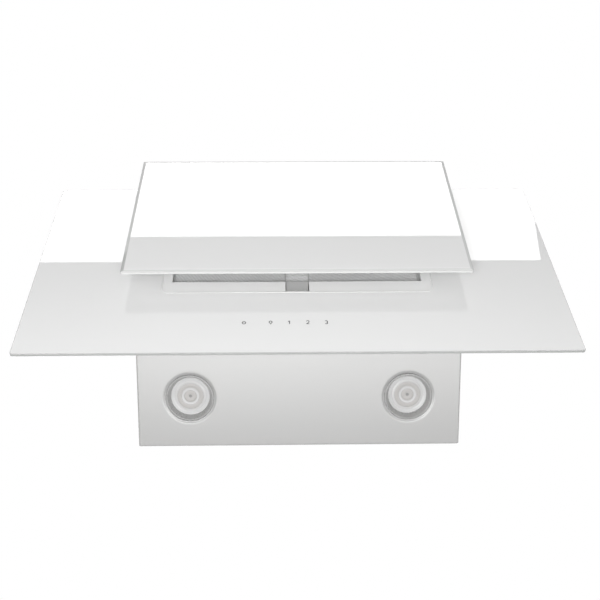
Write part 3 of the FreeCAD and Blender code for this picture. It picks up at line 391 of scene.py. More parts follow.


# %% [markdown]
# ### White glass
#
# Toughened glass painted white on its back is a deep, clean white under a clear mirror. Its cut edge isn't
# painted, so it shows the grey of the glass itself, and the wide bevel of the panel, where the glass thins
# out, lies between the two. The object-space normal tells them apart: it lines up with `outward` on the
# faces, nearly so on the bevel and not at all on the edge. A thin darker grey rim is painted along every
# edge. A faint haze of wiping changes the roughness, and the back is bare paint. The big pane's edge is
# painted a darker grey than the panel's edge, as painted shade on that edge.

# %% Finish: white glass
GLASS_WHITE = (0.660, 0.661, 0.659)
GLASS_BEVEL = (0.50, 0.505, 0.50)
GLASS_RIM = (0.36, 0.365, 0.36)
# The big pane's darker edge grey is painted shade; the panel's edge grey is lighter.
PANES = {"white_glass": (0.20, 0.205, 0.20), "white_glass_panel": (0.40, 0.405, 0.40)}
for name, cut_edge in PANES.items():
    tree, shader, here = new_finish(name, {"IOR": 1.5, "Specular IOR Level": 0.5})
    facing = {0: add_node(tree, "TexCoord").outputs["Normal"], 1: tuple(outward)}
    towards_room = add_node(tree, "VectorMath", facing, operation="DOT_PRODUCT").outputs["Value"]
    lined_up = sum_up(tree, "ABSOLUTE", towards_room)
    haze = add_node(tree, "TexNoise", {"Vector": here, "Scale": 7.0, "Detail": 5.0, "Distortion": 1.5}).outputs["Fac"]
    clouded = blended(tree, haze, GLASS_WHITE, tuple(0.99 * c for c in GLASS_WHITE))
    ground = blended(tree, between(tree, lined_up, 0.0, 1.0, 0.85, 0.93), cut_edge, GLASS_BEVEL)
    painted = blended(tree, between(tree, lined_up, 0.0, 1.0, 0.98, 0.995), ground, clouded)
    edge = use_effect(tree, handled, {"Radius": 0.0026})
    # A thin darker grey rim is painted along every edge.
    tree.links.new(blended(tree, edge.outputs["Mask"], painted, GLASS_RIM), shader.inputs["Base Color"])
    polish = between(tree, haze, 0.012, 0.03, 0.35, 0.7)
    paint_side = between(tree, towards_room, 0.42, 0.0, -0.9, -0.5)
    tree.links.new(sum_up(tree, "ADD", polish, paint_side), shader.inputs["Roughness"])
print("finishes", ", ".join(PANES))

# %% [markdown]
# ### White enamel
#
# The surround in the cut-out and the panel's tray are powder coated. Powder flows out into a fine
# orange-peel and pulls back from sharp edges, so the edges are rounded and a touch lighter. The surround's
# rolled rim is painted whiter than the rest, as a painted highlight where the bead catches the light.

# %% Finish: white enamel
ENAMELS = {  # dark white, light white, worn edge
    "white_enamel": (0.69, 0.73, 0.77),
    # The rim's whiter tones are a painted highlight along the rolled rim.
    "white_enamel_rim_highlight": (0.74, 0.77, 0.79),
}
for name, (dark, light, worn) in ENAMELS.items():
    tree, shader, here = new_finish(name, {"IOR": 1.5, "Coat Roughness": 0.2})
    peel = use_effect(tree, skin, {"Position": stretched(tree, here, (420.0, 420.0, 420.0))})
    edge = use_effect(tree, handled, {"Radius": 0.0012})
    paint = blended(tree, peel.outputs["Tone"], (dark, dark, dark * 0.995), (light, light, light * 0.995))
    tree.links.new(blended(tree, edge.outputs["Mask"], paint, (worn, worn, worn * 0.995)), shader.inputs["Base Color"])
    tree.links.new(between(tree, peel.outputs["Tone"], 0.28, 0.42), shader.inputs["Roughness"])
    relief(tree, shader, peel.outputs["Height"], 0.00004, edge.outputs["Normal"])
print("finishes", ", ".join(ENAMELS))

# %% [markdown]
# ### Zinc sheet
#
# The back plate, the top and the hidden front frame are left as they come from the mill, hot-dip galvanised.
# Spangle sets the grey of each crystal and its roughness together, and dust dulls what faces up.

# %% Finish: zinc sheet
SPANGLES_PER_METRE = 95.0
tree, shader, here = new_finish("zinc_sheet", {"IOR": 1.5})
crystal = use_effect(tree, spangle, {"Position": stretched(tree, here, (SPANGLES_PER_METRE,) * 3)})
edge = use_effect(tree, handled, {"Radius": 0.0008})
lying = use_effect(tree, dust, {"Position": here, "Amount": 0.55})
metal = blended(tree, crystal.outputs["Tone"], (0.53, 0.54, 0.55), (0.64, 0.65, 0.665))
metal = blended(tree, edge.outputs["Mask"], metal, (0.78, 0.79, 0.80))
tree.links.new(blended(tree, lying.outputs["Mask"], metal, (0.36, 0.34, 0.31)), shader.inputs["Base Color"])
tree.links.new(between(tree, crystal.outputs["Tone"], 0.34, 0.46), shader.inputs["Roughness"])
tree.links.new(between(tree, lying.outputs["Mask"], 0.9, 0.25), shader.inputs["Metallic"])
relief(tree, shader, crystal.outputs["Height"], 0.00005, edge.outputs["Normal"])
print("finish zinc_sheet")

# %% [markdown]
# ### Brushed, drawn and turned metals
#
# Seven finishes share one recipe and differ only in their greys, their roughness and the direction of their
# grain, so a table holds them. The grain runs along the axis with the small number of scratches per metre.

# %% Finishes: metals with a grain
ALONG_X, ALONG_Z, EVERY_WAY = (14.0, 1100.0, 1100.0), (1100.0, 1100.0, 14.0), (600.0, 600.0, 600.0)
METALS = {  # dark grey, light grey, roughness from and to, grain, depth, metallic, rounding
    "satin_steel": (0.265, 0.269, 0.268, 0.272, ALONG_X, 0.00000001, 0.5, 0.0010),
    "filter_aluminium": (0.56, 0.62, 0.30, 0.42, ALONG_X, 0.000006, 0.35, 0.0006),
    "latch_steel": (0.64, 0.69, 0.30, 0.38, ALONG_X, 0.000006, 0.35, 0.0006),
    "hinge_steel": (0.46, 0.60, 0.24, 0.36, ALONG_Z, 0.00001, 0.95, 0.0007),
    "bright_steel": (0.60, 0.74, 0.16, 0.26, EVERY_WAY, 0.000006, 1.0, 0.0004),
    "rotor_steel": (0.30, 0.42, 0.32, 0.45, ALONG_X, 0.00001, 0.95, 0.0006),
    "cast_housing": (0.44, 0.54, 0.42, 0.56, EVERY_WAY, 0.00004, 0.85, 0.0012),
}
for name, (dark, light, smooth, rough, along, depth, metallic, rounding) in METALS.items():
    tree, shader, here = new_finish(name, {"Metallic": metallic, "IOR": 1.5})
    brushed = use_effect(tree, grain, {"Position": stretched(tree, here, along)})
    edge = use_effect(tree, handled, {"Radius": rounding})
    metal = blended(tree, brushed.outputs["Tone"], (dark, dark, dark * 0.99), (light, light, light * 0.99))
    bright = tuple(min(1.0, c * 1.12) for c in (light, light, light))
    tree.links.new(blended(tree, edge.outputs["Mask"], metal, bright), shader.inputs["Base Color"])
    tree.links.new(between(tree, brushed.outputs["Tone"], smooth, rough, 0.3, 0.7), shader.inputs["Roughness"])
    relief(tree, shader, brushed.outputs["Height"], depth, edge.outputs["Normal"])
print("finishes", ", ".join(METALS))

# %% [markdown]
# ### Mouldings, rubber and tape
#
# The plastics share the pebbled skin: fine on a housing, finer on a bush, coarser on the wheel. Black
# plastic wears shinier where fingers reach it, and that is the slow tone that the skin effect puts out.

# %% Finishes: mouldings
MOULDINGS = {  # dark colour, light colour, roughness from and to, pebbles per metre, depth, rounding
    "black_plastic": ((0.018, 0.018, 0.019), (0.035, 0.035, 0.036), 0.38, 0.52, 900.0, 0.00004, 0.0008),
    "catch_plastic": ((0.50, 0.50, 0.49), (0.58, 0.58, 0.565), 0.34, 0.46, 900.0, 0.00003, 0.0006),
    "grey_plastic": ((0.13, 0.135, 0.14), (0.18, 0.185, 0.19), 0.42, 0.58, 700.0, 0.00005, 0.0010),
    "rubber_bush": ((0.012, 0.012, 0.012), (0.03, 0.029, 0.028), 0.62, 0.82, 1400.0, 0.00003, 0.0006),
    "capacitor_white": ((0.60, 0.60, 0.58), (0.70, 0.70, 0.68), 0.30, 0.42, 500.0, 0.00002, 0.0008),
    "lead_insulation": ((0.30, 0.16, 0.06), (0.40, 0.22, 0.09), 0.34, 0.46, 1600.0, 0.00001, 0.0002),
    "black_tape": ((0.010, 0.010, 0.010), (0.022, 0.022, 0.022), 0.70, 0.88, 800.0, 0.00006, 0.0004),
}
for name, (dark, light, smooth, rough, pebble, depth, rounding) in MOULDINGS.items():
    tree, shader, here = new_finish(name, {"IOR": 1.48})
    moulded = use_effect(tree, skin, {"Position": stretched(tree, here, (pebble,) * 3)})
    edge = use_effect(tree, handled, {"Radius": rounding})
    lying = use_effect(tree, dust, {"Position": here, "Amount": 0.35})
    worn = tuple(c * 1.25 for c in light)
    paint = blended(tree, moulded.outputs["Tone"], dark, light)
    paint = blended(tree, edge.outputs["Mask"], paint, worn)
    tree.links.new(blended(tree, lying.outputs["Mask"], paint, (0.30, 0.28, 0.25)), shader.inputs["Base Color"])
    tree.links.new(between(tree, moulded.outputs["Tone"], smooth, rough, 0.3, 0.7), shader.inputs["Roughness"])
    relief(tree, shader, moulded.outputs["Height"], depth, edge.outputs["Normal"])
print("finishes", ", ".join(MOULDINGS))

# %% [markdown]
# ### Circuit board
#
# Inside, the boards are green solder mask over copper. Brick texture lines stand in for the tracks: they are
# slightly paler and raised by the thickness of the copper.

# %% Finish: circuit board
tree, shader, here = new_finish("circuit_board", {"IOR": 1.55, "Roughness": 0.3})
flat = stretched(tree, here, (1.0, 1.0, 1.0), (math.radians(90.0), 0.0, 0.0))
tracks = add_node(tree, "TexBrick", {"Vector": flat, "Scale": 60.0, "Mortar Size": 0.06, "Row Height": 0.11})
mottle = add_node(tree, "TexNoise", {"Vector": here, "Scale": 60.0, "Detail": 3.0}).outputs["Fac"]
mask_green = blended(tree, mottle, (0.012, 0.085, 0.035), (0.02, 0.12, 0.05))
board = blended(tree, tracks.outputs["Fac"], mask_green, (0.06, 0.24, 0.10))
tree.links.new(board, shader.inputs["Base Color"])
relief(tree, shader, tracks.outputs["Fac"], 0.00004)
print("finish circuit_board")

# %% [markdown]
# ### Expanded mesh
#
# The filter is anodised aluminium, dull and slightly grey. Its layers are crimped in slanting waves, and
# the valleys are painted darker than the crests, a painted shade of the crimp. The wave's phase grows along
# one slanting direction, so the dot product of a point with that direction, and then a sine, gives its
# height and its painted shade.

# %% Finish: expanded mesh
CRIMP_PITCH, CRIMP_SLANT = 5.8, 0.546
tree, shader, here = new_finish("mesh_aluminium", {"Metallic": 0.1, "IOR": 1.5})
settled = add_node(tree, "TexNoise", {"Vector": here, "Scale": 18.0, "Detail": 4.0}).outputs["Fac"]
along_wave = (np.array(across) + CRIMP_SLANT * np.array(upslope)) * 2 * np.pi / (CRIMP_PITCH * MM)
turns = add_node(tree, "VectorMath", {0: here, 1: tuple(along_wave)}, operation="DOT_PRODUCT").outputs["Value"]
from_foot = sum_up(tree, "SUBTRACT", turns, float(np.dot(along_wave, foot)))
crest = between(tree, sum_up(tree, "SINE", from_foot), 0.0, 1.0, -1.0, 1.0)
crest_tone = blended(tree, settled, (0.83, 0.835, 0.84), (0.84, 0.84, 0.835))
# Valleys darker than crests: painted shade of the crimp.
crimp_shaded_tone = blended(tree, crest, (0.66, 0.66, 0.655), crest_tone)
tree.links.new(crimp_shaded_tone, shader.inputs["Base Color"])
tree.links.new(between(tree, settled, 0.48, 0.34, 0.3, 0.7), shader.inputs["Roughness"])
drawn = use_effect(tree, grain, {"Position": stretched(tree, here, EVERY_WAY)})
relief(tree, shader, drawn.outputs["Height"], 0.00001)
print("finish mesh_aluminium")

# %% [markdown]
# ### Lamp finishes
#
# The bezel is spun metal, satin rather than chromed, and its rolled lip is painted darker as a painted dark
# reflection; the attribute `lip` says where that is. The lens is moulded with rings that each bend the light
# their own way, and the light and shade each ring shows are painted into its colour as rings of different
# greys. The lens mesh carries the distance from its own axis as an attribute, and a colour ramp turns that
# distance into the rings.

# %% Finishes: bezel, lens and reflector
tree, shader, here = new_finish("polished_bezel", {"Metallic": 0.85, "IOR": 1.5})
spun = use_effect(tree, grain, {"Position": stretched(tree, here, (300.0, 300.0, 2400.0))})
bezel_tone = blended(tree, spun.outputs["Tone"], (0.39, 0.39, 0.39), (0.45, 0.45, 0.445))
on_lip = add_node(tree, "Attribute", attribute_name="lip").outputs["Fac"]
# The lip is painted darker: a painted dark reflection in the spun metal.
tree.links.new(blended(tree, on_lip, bezel_tone, (0.20, 0.20, 0.198)), shader.inputs["Base Color"])
tree.links.new(between(tree, spun.outputs["Tone"], 0.24, 0.34, 0.3, 0.7), shader.inputs["Roughness"])
relief(tree, shader, spun.outputs["Height"], 0.000006)

tree, shader, here = new_finish("mirror_reflector", {"Metallic": 1.0, "IOR": 1.5})
facet = add_node(tree, "TexVoronoi", {"Vector": here, "Scale": 260.0, "Smoothness": 0.4}, feature="SMOOTH_F1")
silver = blended(tree, facet.outputs["Distance"], (0.86, 0.86, 0.86), (0.74, 0.74, 0.75))
tree.links.new(silver, shader.inputs["Base Color"])
tree.links.new(between(tree, facet.outputs["Distance"], 0.06, 0.14), shader.inputs["Roughness"])
relief(tree, shader, facet.outputs["Distance"], 0.0002)

# Painted light and shade: each ring's grey and warmth stand in for how that ring bends the light.
LENS_PAINTED_RINGS = [  # radius in millimetres, grey, warmth
    (0.0, 0.125, 0.98), (2.0, 0.135, 0.98), (3.2, 0.198, 0.945), (8.8, 0.203, 0.94), (9.8, 0.22, 0.97), (10.6, 0.25, 0.995),
    (13.2, 0.26, 0.995), (14.4, 0.22, 0.96), (16.0, 0.193, 0.94), (20.2, 0.198, 0.945), (21.4, 0.275, 0.99), (23.6, 0.285, 0.99),
    (24.6, 0.235, 0.99), (25.8, 0.275, 1.0), (29.0, 0.285, 1.0), (31.0, 0.195, 0.98)]
LENS_RADIUS_MM = 31.0
tree, shader, here = new_finish("frosted_lens", {"IOR": 1.49, "Coat Weight": 0.4, "Coat Roughness": 0.05})
from_axis = add_node(tree, "Attribute", attribute_name="from_axis").outputs["Fac"]
ramp = add_node(tree, "ValToRGB", {"Fac": from_axis})
ramp.color_ramp.interpolation = "EASE"
for number, (radius, grey, warmth) in enumerate(LENS_PAINTED_RINGS):
    stops = ramp.color_ramp.elements
    at = radius / LENS_RADIUS_MM
    stop = stops[number] if number < 2 else stops.new(at)
    stop.position = at
    stop.color = (grey, grey * (0.5 + 0.5 * warmth), grey * warmth, 1.0)
frosting = add_node(tree, "TexNoise", {"Vector": here, "Scale": 900.0, "Detail": 2.0}).outputs["Fac"]
tree.links.new(ramp.outputs["Color"], shader.inputs["Base Color"])
tree.links.new(between(tree, frosting, 0.22, 0.38), shader.inputs["Roughness"])
relief(tree, shader, frosting, 0.00001)
print("finishes polished_bezel, mirror_reflector, frosted_lens")

# %% [markdown]
# ### Printed ink and the studio floor
#
# The five touch marks are screen printed in grey. Ink is matt and a little uneven where the screen's mesh
# shows. The floor is a pale matt sheet with the faintest mottle, and a little light of its own stands in for
# all the light that a white studio throws back up from it.

# %% Finishes: ink and floor
FLOOR_GLOW, FLOOR_GLOW_ON_PAINT = 0.55, 0.12
tree, shader, here = new_finish("grey_ink", {"IOR": 1.45})
screen = add_node(tree, "TexNoise", {"Vector": here, "Scale": 2200.0, "Detail": 1.0}).outputs["Fac"]
tree.links.new(blended(tree, screen, (0.05, 0.05, 0.052), (0.075, 0.075, 0.078)), shader.inputs["Base Color"])
tree.links.new(between(tree, screen, 0.5, 0.7), shader.inputs["Roughness"])
tree, shader, here = new_finish("pale_floor", {"IOR": 1.4, "Roughness": 0.75})
mottle = add_node(tree, "TexNoise", {"Vector": here, "Scale": 3.0, "Detail": 4.0}).outputs["Fac"]
tree.links.new(blended(tree, mottle, (0.80, 0.80, 0.80), (0.84, 0.84, 0.84)), shader.inputs["Base Color"])
shader.inputs["Emission Color"].default_value = (1.0, 1.0, 1.0, 1.0)
on_paint = add_node(tree, "LightPath").outputs["Is Diffuse Ray"]
tree.links.new(between(tree, on_paint, FLOOR_GLOW, FLOOR_GLOW_ON_PAINT), shader.inputs["Emission Strength"])
floor.data.materials.append(finishes["pale_floor"])
tree, shader, here = new_finish("black_cloth", {"Roughness": 1.0, "Specular IOR Level": 0.0})
weave = add_node(tree, "TexNoise", {"Vector": here, "Scale": 90.0}).outputs["Fac"]
tree.links.new(blended(tree, weave, (0.0, 0.0, 0.0), (0.01, 0.01, 0.01)), shader.inputs["Base Color"])
flag.data.materials.append(finishes["black_cloth"])
print("finishes grey_ink, pale_floor")

# %% [markdown]
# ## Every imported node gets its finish
#
# The record says which material slot each node uses, so one loop dresses them all.

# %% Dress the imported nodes
slot_of = {part["node"]: part["material_slot"] for part in frame["record"]["subparts"]}
for name, slot_name in slot_of.items():
    nodes[name].data.materials.clear()
    nodes[name].data.materials.append(finishes["white_glass_panel" if name == "panel_glass" else slot_name])
print("dressed", len(slot_of), "nodes in", len(set(slot_of.values())), "finishes")

# %% [markdown]
# ## Tools for new pieces
#
# A new piece is one or more closed surfaces, each an array of points in rows and columns. Neighbouring rows
# and columns make four-sided faces; a surface can wrap round either way. All corner numbers are worked out
# as whole arrays. Points that meet, as on the axis of a turned piece, are merged, and only then are the
# normals turned outwards.

# %% Helpers: a grid of points becomes a closed surface, and surfaces become a piece
MERGE_WITHIN = 1e-7
SHARP_ABOVE_DEG = 34.0


def grid_faces(rows, columns, wrap_rows=False, wrap_columns=True):
    """Corner numbers of the faces of a rows-by-columns grid: (i, j), (i, j+1), (i+1, j+1), (i+1, j)."""
    i = np.arange(rows if wrap_rows else rows - 1)[:, None]
    j = np.arange(columns if wrap_columns else columns - 1)[None, :]
    after_i, after_j = (i + 1) % rows, (j + 1) % columns
    corners = (i * columns + j, i * columns + after_j, after_i * columns + after_j, after_i * columns + j)
    return np.stack(np.broadcast_arrays(*corners), axis=-1).reshape(-1, 4)


def many_grids(points, **wraps):
    """Points of shape (copies, rows, columns, 3) become one vertex list and one face list."""
    copies, rows, columns = points.shape[:3]
    one = grid_faces(rows, columns, **wraps)
    shift = np.arange(copies)[:, None, None] * rows * columns
    return points.reshape(-1, 3), (one[None] + shift).reshape(-1, 4)


def make_piece(name, surfaces, finish, body, stands_for=(), smooth=True):
    """Joins surfaces into one mesh, merges meeting points, turns normals outwards and parents it to its body."""
    offsets = np.cumsum([0] + [len(v) for v, _ in surfaces])
    vertices = np.concatenate([v for v, _ in surfaces])
    faces = np.concatenate([f + o for (_, f), o in zip(surfaces, offsets)])
    mesh = bpy.data.meshes.new(name)
    mesh.from_pydata(vertices, [], faces)
    work = bmesh.new()
    work.from_mesh(mesh)
    bmesh.ops.remove_doubles(work, verts=work.verts, dist=MERGE_WITHIN)
    bmesh.ops.recalc_face_normals(work, faces=work.faces)
    work.to_mesh(mesh)
    work.free()
    if smooth:
        mesh.shade_smooth()
        mesh.set_sharp_from_angle(angle=math.radians(SHARP_ABOVE_DEG))
    mesh.materials.append(finishes[finish])
    piece = bpy.data.objects.new(name, mesh)
    bpy.context.scene.collection.objects.link(piece)
    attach(piece, body)
    if stands_for:
        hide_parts(*stands_for)
    print("made", name, "with", len(mesh.polygons), "faces")
    return piece


def carry(piece, name, measure):
    """Gives every vertex a number, measured from its place, for the material to read."""
    flat = np.empty(3 * len(piece.data.vertices))
    piece.data.vertices.foreach_get("co", flat)
    values = measure(flat.reshape(-1, 3)).astype(np.float32)
    piece.data.attributes.new(name, "FLOAT", "POINT").data.foreach_set("value", values)


def leaning(place):
    """Metres of the frame back to leaning millimetres across and up the slope."""
    from_foot = (place - foot) / MM
    return from_foot @ across, from_foot @ upslope


def softened(outline, radius, closed=True, steps=5):
    """Rounds an outline's corners: each corner p becomes the curve (1-t)^2 a + 2t(1-t) p + t^2 b, with a and b
    on its two sides, at most a radius away. The ends of an open outline stay."""
    p = np.asarray(outline, float)
    before, after = np.roll(p, 1, axis=0), np.roll(p, -1, axis=0)

    def towards(other):
        gap = other - p
        far = np.linalg.norm(gap, axis=1, keepdims=True)
        return p + gap * np.minimum(0.45, radius / np.maximum(far, 1e-9))

    a, b = towards(before)[:, None], towards(after)[:, None]
    t = np.linspace(0.0, 1.0, steps)[None, :, None]
    curve = (1 - t) ** 2 * a + 2 * t * (1 - t) * p[:, None] + t ** 2 * b
    if closed:
        return curve.reshape(-1, 2)
    return np.concatenate([p[:1], curve[1:-1].reshape(-1, 2), p[-1:]])


def turned(profile, centre, segments, on_axis=False):
    """A profile of (radius, height) carried round the vertical through centre: (r cos a, r sin a, z)."""
    a = np.arange(segments) * 2 * np.pi / segments
    r, z = profile[:, 0][:, None], profile[:, 1][:, None]
    points = np.stack([r * np.cos(a), r * np.sin(a), np.broadcast_to(z, (len(profile), segments))], axis=-1)
    return many_grids(np.asarray(centre) + MM * points[None], wrap_rows=not on_axis)


print("tools ready")

# %% [markdown]
# ## Bottom plate
#
# The plate under the body is one pressing: flat, with a shallow dimple round each lamp and edges rolled up
# into a flange. Each half is a fan of lines from its lamp to the half's border, so the dimple, which depends
# only on the distance from the lamp, comes out perfectly round. The rolled edge is a profile carried round
# three sides; at a rear corner the path stands still while its sideways direction turns.

# %% Press the bottom plate
plate_low = np.array(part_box("bottom_plate")[0]) / MM
plate_bottom = plate_low[2] * MM
lamp_low, lamp_high = (np.array(corner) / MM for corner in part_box("lamp_lens_right"))
LAMP_X_MM, LAMP_Y_MM = (lamp_low[:2] + lamp_high[:2]) / 2
ROLL, SKIN, FLANGE_HIGH, HOLE_R = 2.6, 1.0, 23.0, 36.0
DIMPLE_HIGH, DIMPLE_INNER, DIMPLE_OUTER = 1.2, 38.6, 42.8
SEAM_GAP, LAP, TINY = 0.005, 0.01, 1e-9
FRAME_DEPTH = 8.0
flat_x, flat_y = -plate_low[0] - ROLL, -ROLL


def front_edge(z):
    """Where the leaning frame cuts the plate: the y at which a point that far up lies FRAME_DEPTH behind the glass."""
    from_foot = plate_low[2] + z - foot[2] / MM
    return foot[1] / MM - (FRAME_DEPTH + from_foot * outward[2]) / outward[1]


def dimple(r):
    """Height of the dimple: full inside the inner radius, none outside the outer, an S-curve between."""
    t = np.clip((DIMPLE_OUTER - r) / (DIMPLE_OUTER - DIMPLE_INNER), 0.0, 1.0)
    return DIMPLE_HIGH * t * t * (3 - 2 * t)


reach = np.array([SEAM_GAP - LAMP_X_MM, flat_x + LAP - LAMP_X_MM])
depth = np.array([front_edge(0.0) - LAMP_Y_MM, flat_y + LAP - LAMP_Y_MM])
corner_angles = np.arctan2(depth[[0, 0, 1, 1]], reach[[0, 1, 0, 1]])
a = np.sort(np.concatenate([np.linspace(-np.pi, np.pi, 140, endpoint=False), corner_angles]))
to_side = np.where(np.cos(a) > 0, reach[1], -reach[0]) / np.maximum(np.abs(np.cos(a)), TINY)
to_end = np.where(np.sin(a) > 0, depth[1], -depth[0]) / np.maximum(np.abs(np.sin(a)), TINY)
border = np.minimum(to_side, to_end)
near = np.concatenate([[HOLE_R, 37.2], np.linspace(DIMPLE_INNER, DIMPLE_OUTER, 11), [45.0]])[:, None] + 0 * a
far = near[-1] + (border - near[-1]) * np.array([0.3, 0.65, 1.0])[:, None]
r = np.concatenate([near, far])
halves = []
for mirror in (-1, 1):
    skins = []
    for lift in (0.0, SKIN):
        x, y, z = LAMP_X_MM + r * np.cos(a), LAMP_Y_MM + r * np.sin(a), dimple(r) + lift
        at_front = np.abs(y - front_edge(0.0)) < 1e-6
        skins.append(np.stack([mirror * x, np.where(at_front, front_edge(z), y), z], axis=-1))
    halves.append(np.concatenate([skins[0], skins[1][::-1]]))
quarter = np.radians(np.linspace(0.0, 90.0, 8))
outer_roll = np.stack([ROLL * np.sin(quarter), ROLL * (1 - np.cos(quarter))], axis=-1)
inner_side = [(ROLL, 3.0), (ROLL - SKIN, 3.0), (ROLL - SKIN, FLANGE_HIGH), (ROLL - 2 * SKIN, FLANGE_HIGH), (ROLL - 2 * SKIN, 2.0), (0.0, SKIN)]
section = np.concatenate([outer_roll, inner_side])
turning = np.radians(np.concatenate([[180.0], np.linspace(180.0, 90.0, 9), np.linspace(90.0, 0.0, 9), [0.0]]))[:, None]
stand_x = np.where(np.arange(20) < 10, -flat_x, flat_x)[:, None]
path_x = stand_x + section[:, 0] * np.cos(turning)
path_y = flat_y + section[:, 0] * np.sin(turning)
path_y[[0, -1]] = front_edge(section[:, 1])
edge_rows = np.stack([path_x, path_y, np.broadcast_to(section[:, 1], path_x.shape)], axis=-1)
caps = edge_rows[[0, -1]].mean(axis=1, keepdims=True).repeat(len(section), axis=1)
edge_rows = np.concatenate([caps[:1], edge_rows, caps[1:]])
lift_up = np.array((0.0, 0.0, plate_bottom))
pressing = [many_grids(MM * np.stack(halves) + lift_up, wrap_rows=True), many_grids(MM * edge_rows[None] + lift_up)]
make_piece("pressed_plate", pressing, "satin_steel", "cabinet", ["bottom_plate"])

# %% [markdown]
# ## Lamp lenses and bezels
#
# Each lamp is a moulded lens held in a spun bezel. A lens could be a plain disc, but the real one is a
# light-bending optic: a small nipple in the middle, a flat disc, two steps and a deep ring near the rim that
# folds the light forward. All of it is one profile carried round the lamp's axis.

# %% Make the lenses
lamp_x, lamp_y = LAMP_X_MM * MM, LAMP_Y_MM * MM
LAMPS = {"left": (-lamp_x, lamp_y, plate_bottom), "right": (lamp_x, lamp_y, plate_bottom)}
LENS_PROFILE = [  # radius, height above the plate's underside
    (0.0, 12.4), (1.6, 12.3), (2.3, 11.6), (9.0, 11.5), (9.8, 12.3), (13.8, 12.2), (14.5, 11.5), (20.6, 11.4),
    (21.8, 12.4), (24.3, 13.3), (24.9, 13.3), (27.6, 12.3), (29.4, 11.4), (30.4, 11.25), (30.9, 11.6), (30.9, 15.0), (0.0, 15.0)]
LENS_SEGMENTS = 96
for side, centre in LAMPS.items():
    shape = turned(softened(LENS_PROFILE, 0.45, closed=False), centre, LENS_SEGMENTS, on_axis=True)
    lens = make_piece("lens_" + side, [shape], "frosted_lens", "cabinet", ["lamp_lens_" + side])
    axis = np.array(centre[:2])
    carry(lens, "from_axis", lambda place: np.linalg.norm(place[:, :2] - axis, axis=1) / (LENS_RADIUS_MM * MM))

# %% [markdown]
# The bezel is spun from thin metal: a rolled lip that stands a hair proud of the pressing, a cone that leads
# up to the lens, and a seat behind it. Three shallow rings run round the cone where the tool pressed.

# %% Make the bezels
BEZEL_CONE_LOW, BEZEL_CONE_HIGH = np.array((36.8, -0.4)), np.array((30.6, 11.4))
BEZEL_RINGS = 3
BEZEL_RING_DEPTH = 0.16
LIP_STARTS = 36.0
t = np.linspace(0.0, 1.0, 40)[1:-1]
cone_across = np.array((BEZEL_CONE_HIGH - BEZEL_CONE_LOW)[::-1]) * (1.0, -1.0)
cone_across /= np.linalg.norm(cone_across)
ringed = (1 - t)[:, None] * BEZEL_CONE_LOW + t[:, None] * BEZEL_CONE_HIGH
ringed += cone_across * (BEZEL_RING_DEPTH * np.maximum(0.0, np.sin(2 * np.pi * BEZEL_RINGS * t)) ** 4)[:, None]
BEZEL_BACK = [(30.6, 12.0), (31.1, 12.0), (31.1, 18.0), (32.0, 18.0), (32.0, 12.0), (35.5, 2.2), (35.5, 1.2)]
BEZEL_LIP = [(38.5, 1.2), (38.5, 0.3), (37.8, -0.4)]
outline = np.concatenate([softened(BEZEL_BACK + BEZEL_LIP, 0.35), ringed])
for side, centre in LAMPS.items():
    shape = turned(outline, centre, LENS_SEGMENTS)
    bezel = make_piece("bezel_" + side, [shape], "polished_bezel", "cabinet", ["lamp_bezel_" + side])
    axis = np.array(centre[:2])
    carry(bezel, "lip", lambda place: np.clip(np.linalg.norm(place[:, :2] - axis, axis=1) / MM - LIP_STARTS, 0.0, 1.0))

# %% [markdown]
# ## Expanded mesh
#
# Expanded metal is a sheet that is slit in rows and pulled open, so its strands zigzag and meet their
# neighbours at the knuckles, each strand twisted a little out of the sheet. A strand is a small rectangle
# carried along a triangle wave, and every other strand is its mirror image. The whole pack is crimped, so
# the strands also ride up and down a slanting wave and tip with it: height is the sine of the distance
# across the wave, tilt its slope. Behind the mesh lies the crimped foil that catches the grease.

# %% Make the filter's mesh and foil
MESH_HALF_X, MESH_U0, MESH_U1, MESH_N = 210.6, 192.9, 447.1, -9.45
DIAMOND_X, DIAMOND_U = 4.0, 5.0
STRAND_W, STRAND_T, STRAND_TWIST_DEG = 0.7, 0.3, 12.0
CRIMP_HIGH = 0.14


def crimp_height(x, u):
    """Height of the crimp from 0 in a valley to 1 on a crest: half of one plus the sine of the phase."""
    return 0.5 + 0.5 * np.sin(2 * np.pi * (x + CRIMP_SLANT * u) / CRIMP_PITCH)


knots = int(2 * 2 * (MESH_HALF_X - 0.4) / DIAMOND_X) + 1
strands = int((MESH_U1 - MESH_U0 - 1.4) / (DIAMOND_U / 2))
x = (np.arange(knots) - (knots - 1) / 2) * DIAMOND_X / 2
mirrored = np.where(np.arange(strands) % 2 == 0, 1.0, -1.0)[:, None]
wave = np.where(np.arange(knots) % 2 == 0, 1.0, -1.0)[None, :]
rise = DIAMOND_U / 4 - STRAND_W / 4
u = MESH_U0 + 0.7 + DIAMOND_U / 4 + (np.arange(strands) * DIAMOND_U / 2)[:, None] + mirrored * wave * rise
u = np.minimum(u, MESH_U1 - 0.6)
twist = math.radians(STRAND_TWIST_DEG)
corner_u = np.array([-1, 1, 1, -1]) * STRAND_W / 2
corner_n = np.array([-1, -1, 1, 1]) * STRAND_T / 2
turn_u = corner_u * math.cos(twist) - corner_n * math.sin(twist)
turn_n = corner_u * math.sin(twist) + corner_n * math.cos(twist)
phase = 2 * np.pi * (x[None, :] + CRIMP_SLANT * u) / CRIMP_PITCH
height = (2 * CRIMP_HIGH * (crimp_height(x[None, :], u) - 1))[:, :, None]
steepness = (CRIMP_HIGH * CRIMP_SLANT * 2 * np.pi / CRIMP_PITCH * np.cos(phase))[:, :, None]
mesh_points = on_slope(x[None, :, None], u[:, :, None] + turn_u, MESH_N + height + turn_n + steepness * turn_u)
ends = mesh_points[:, [0, -1]].mean(axis=2, keepdims=True).repeat(4, axis=2)
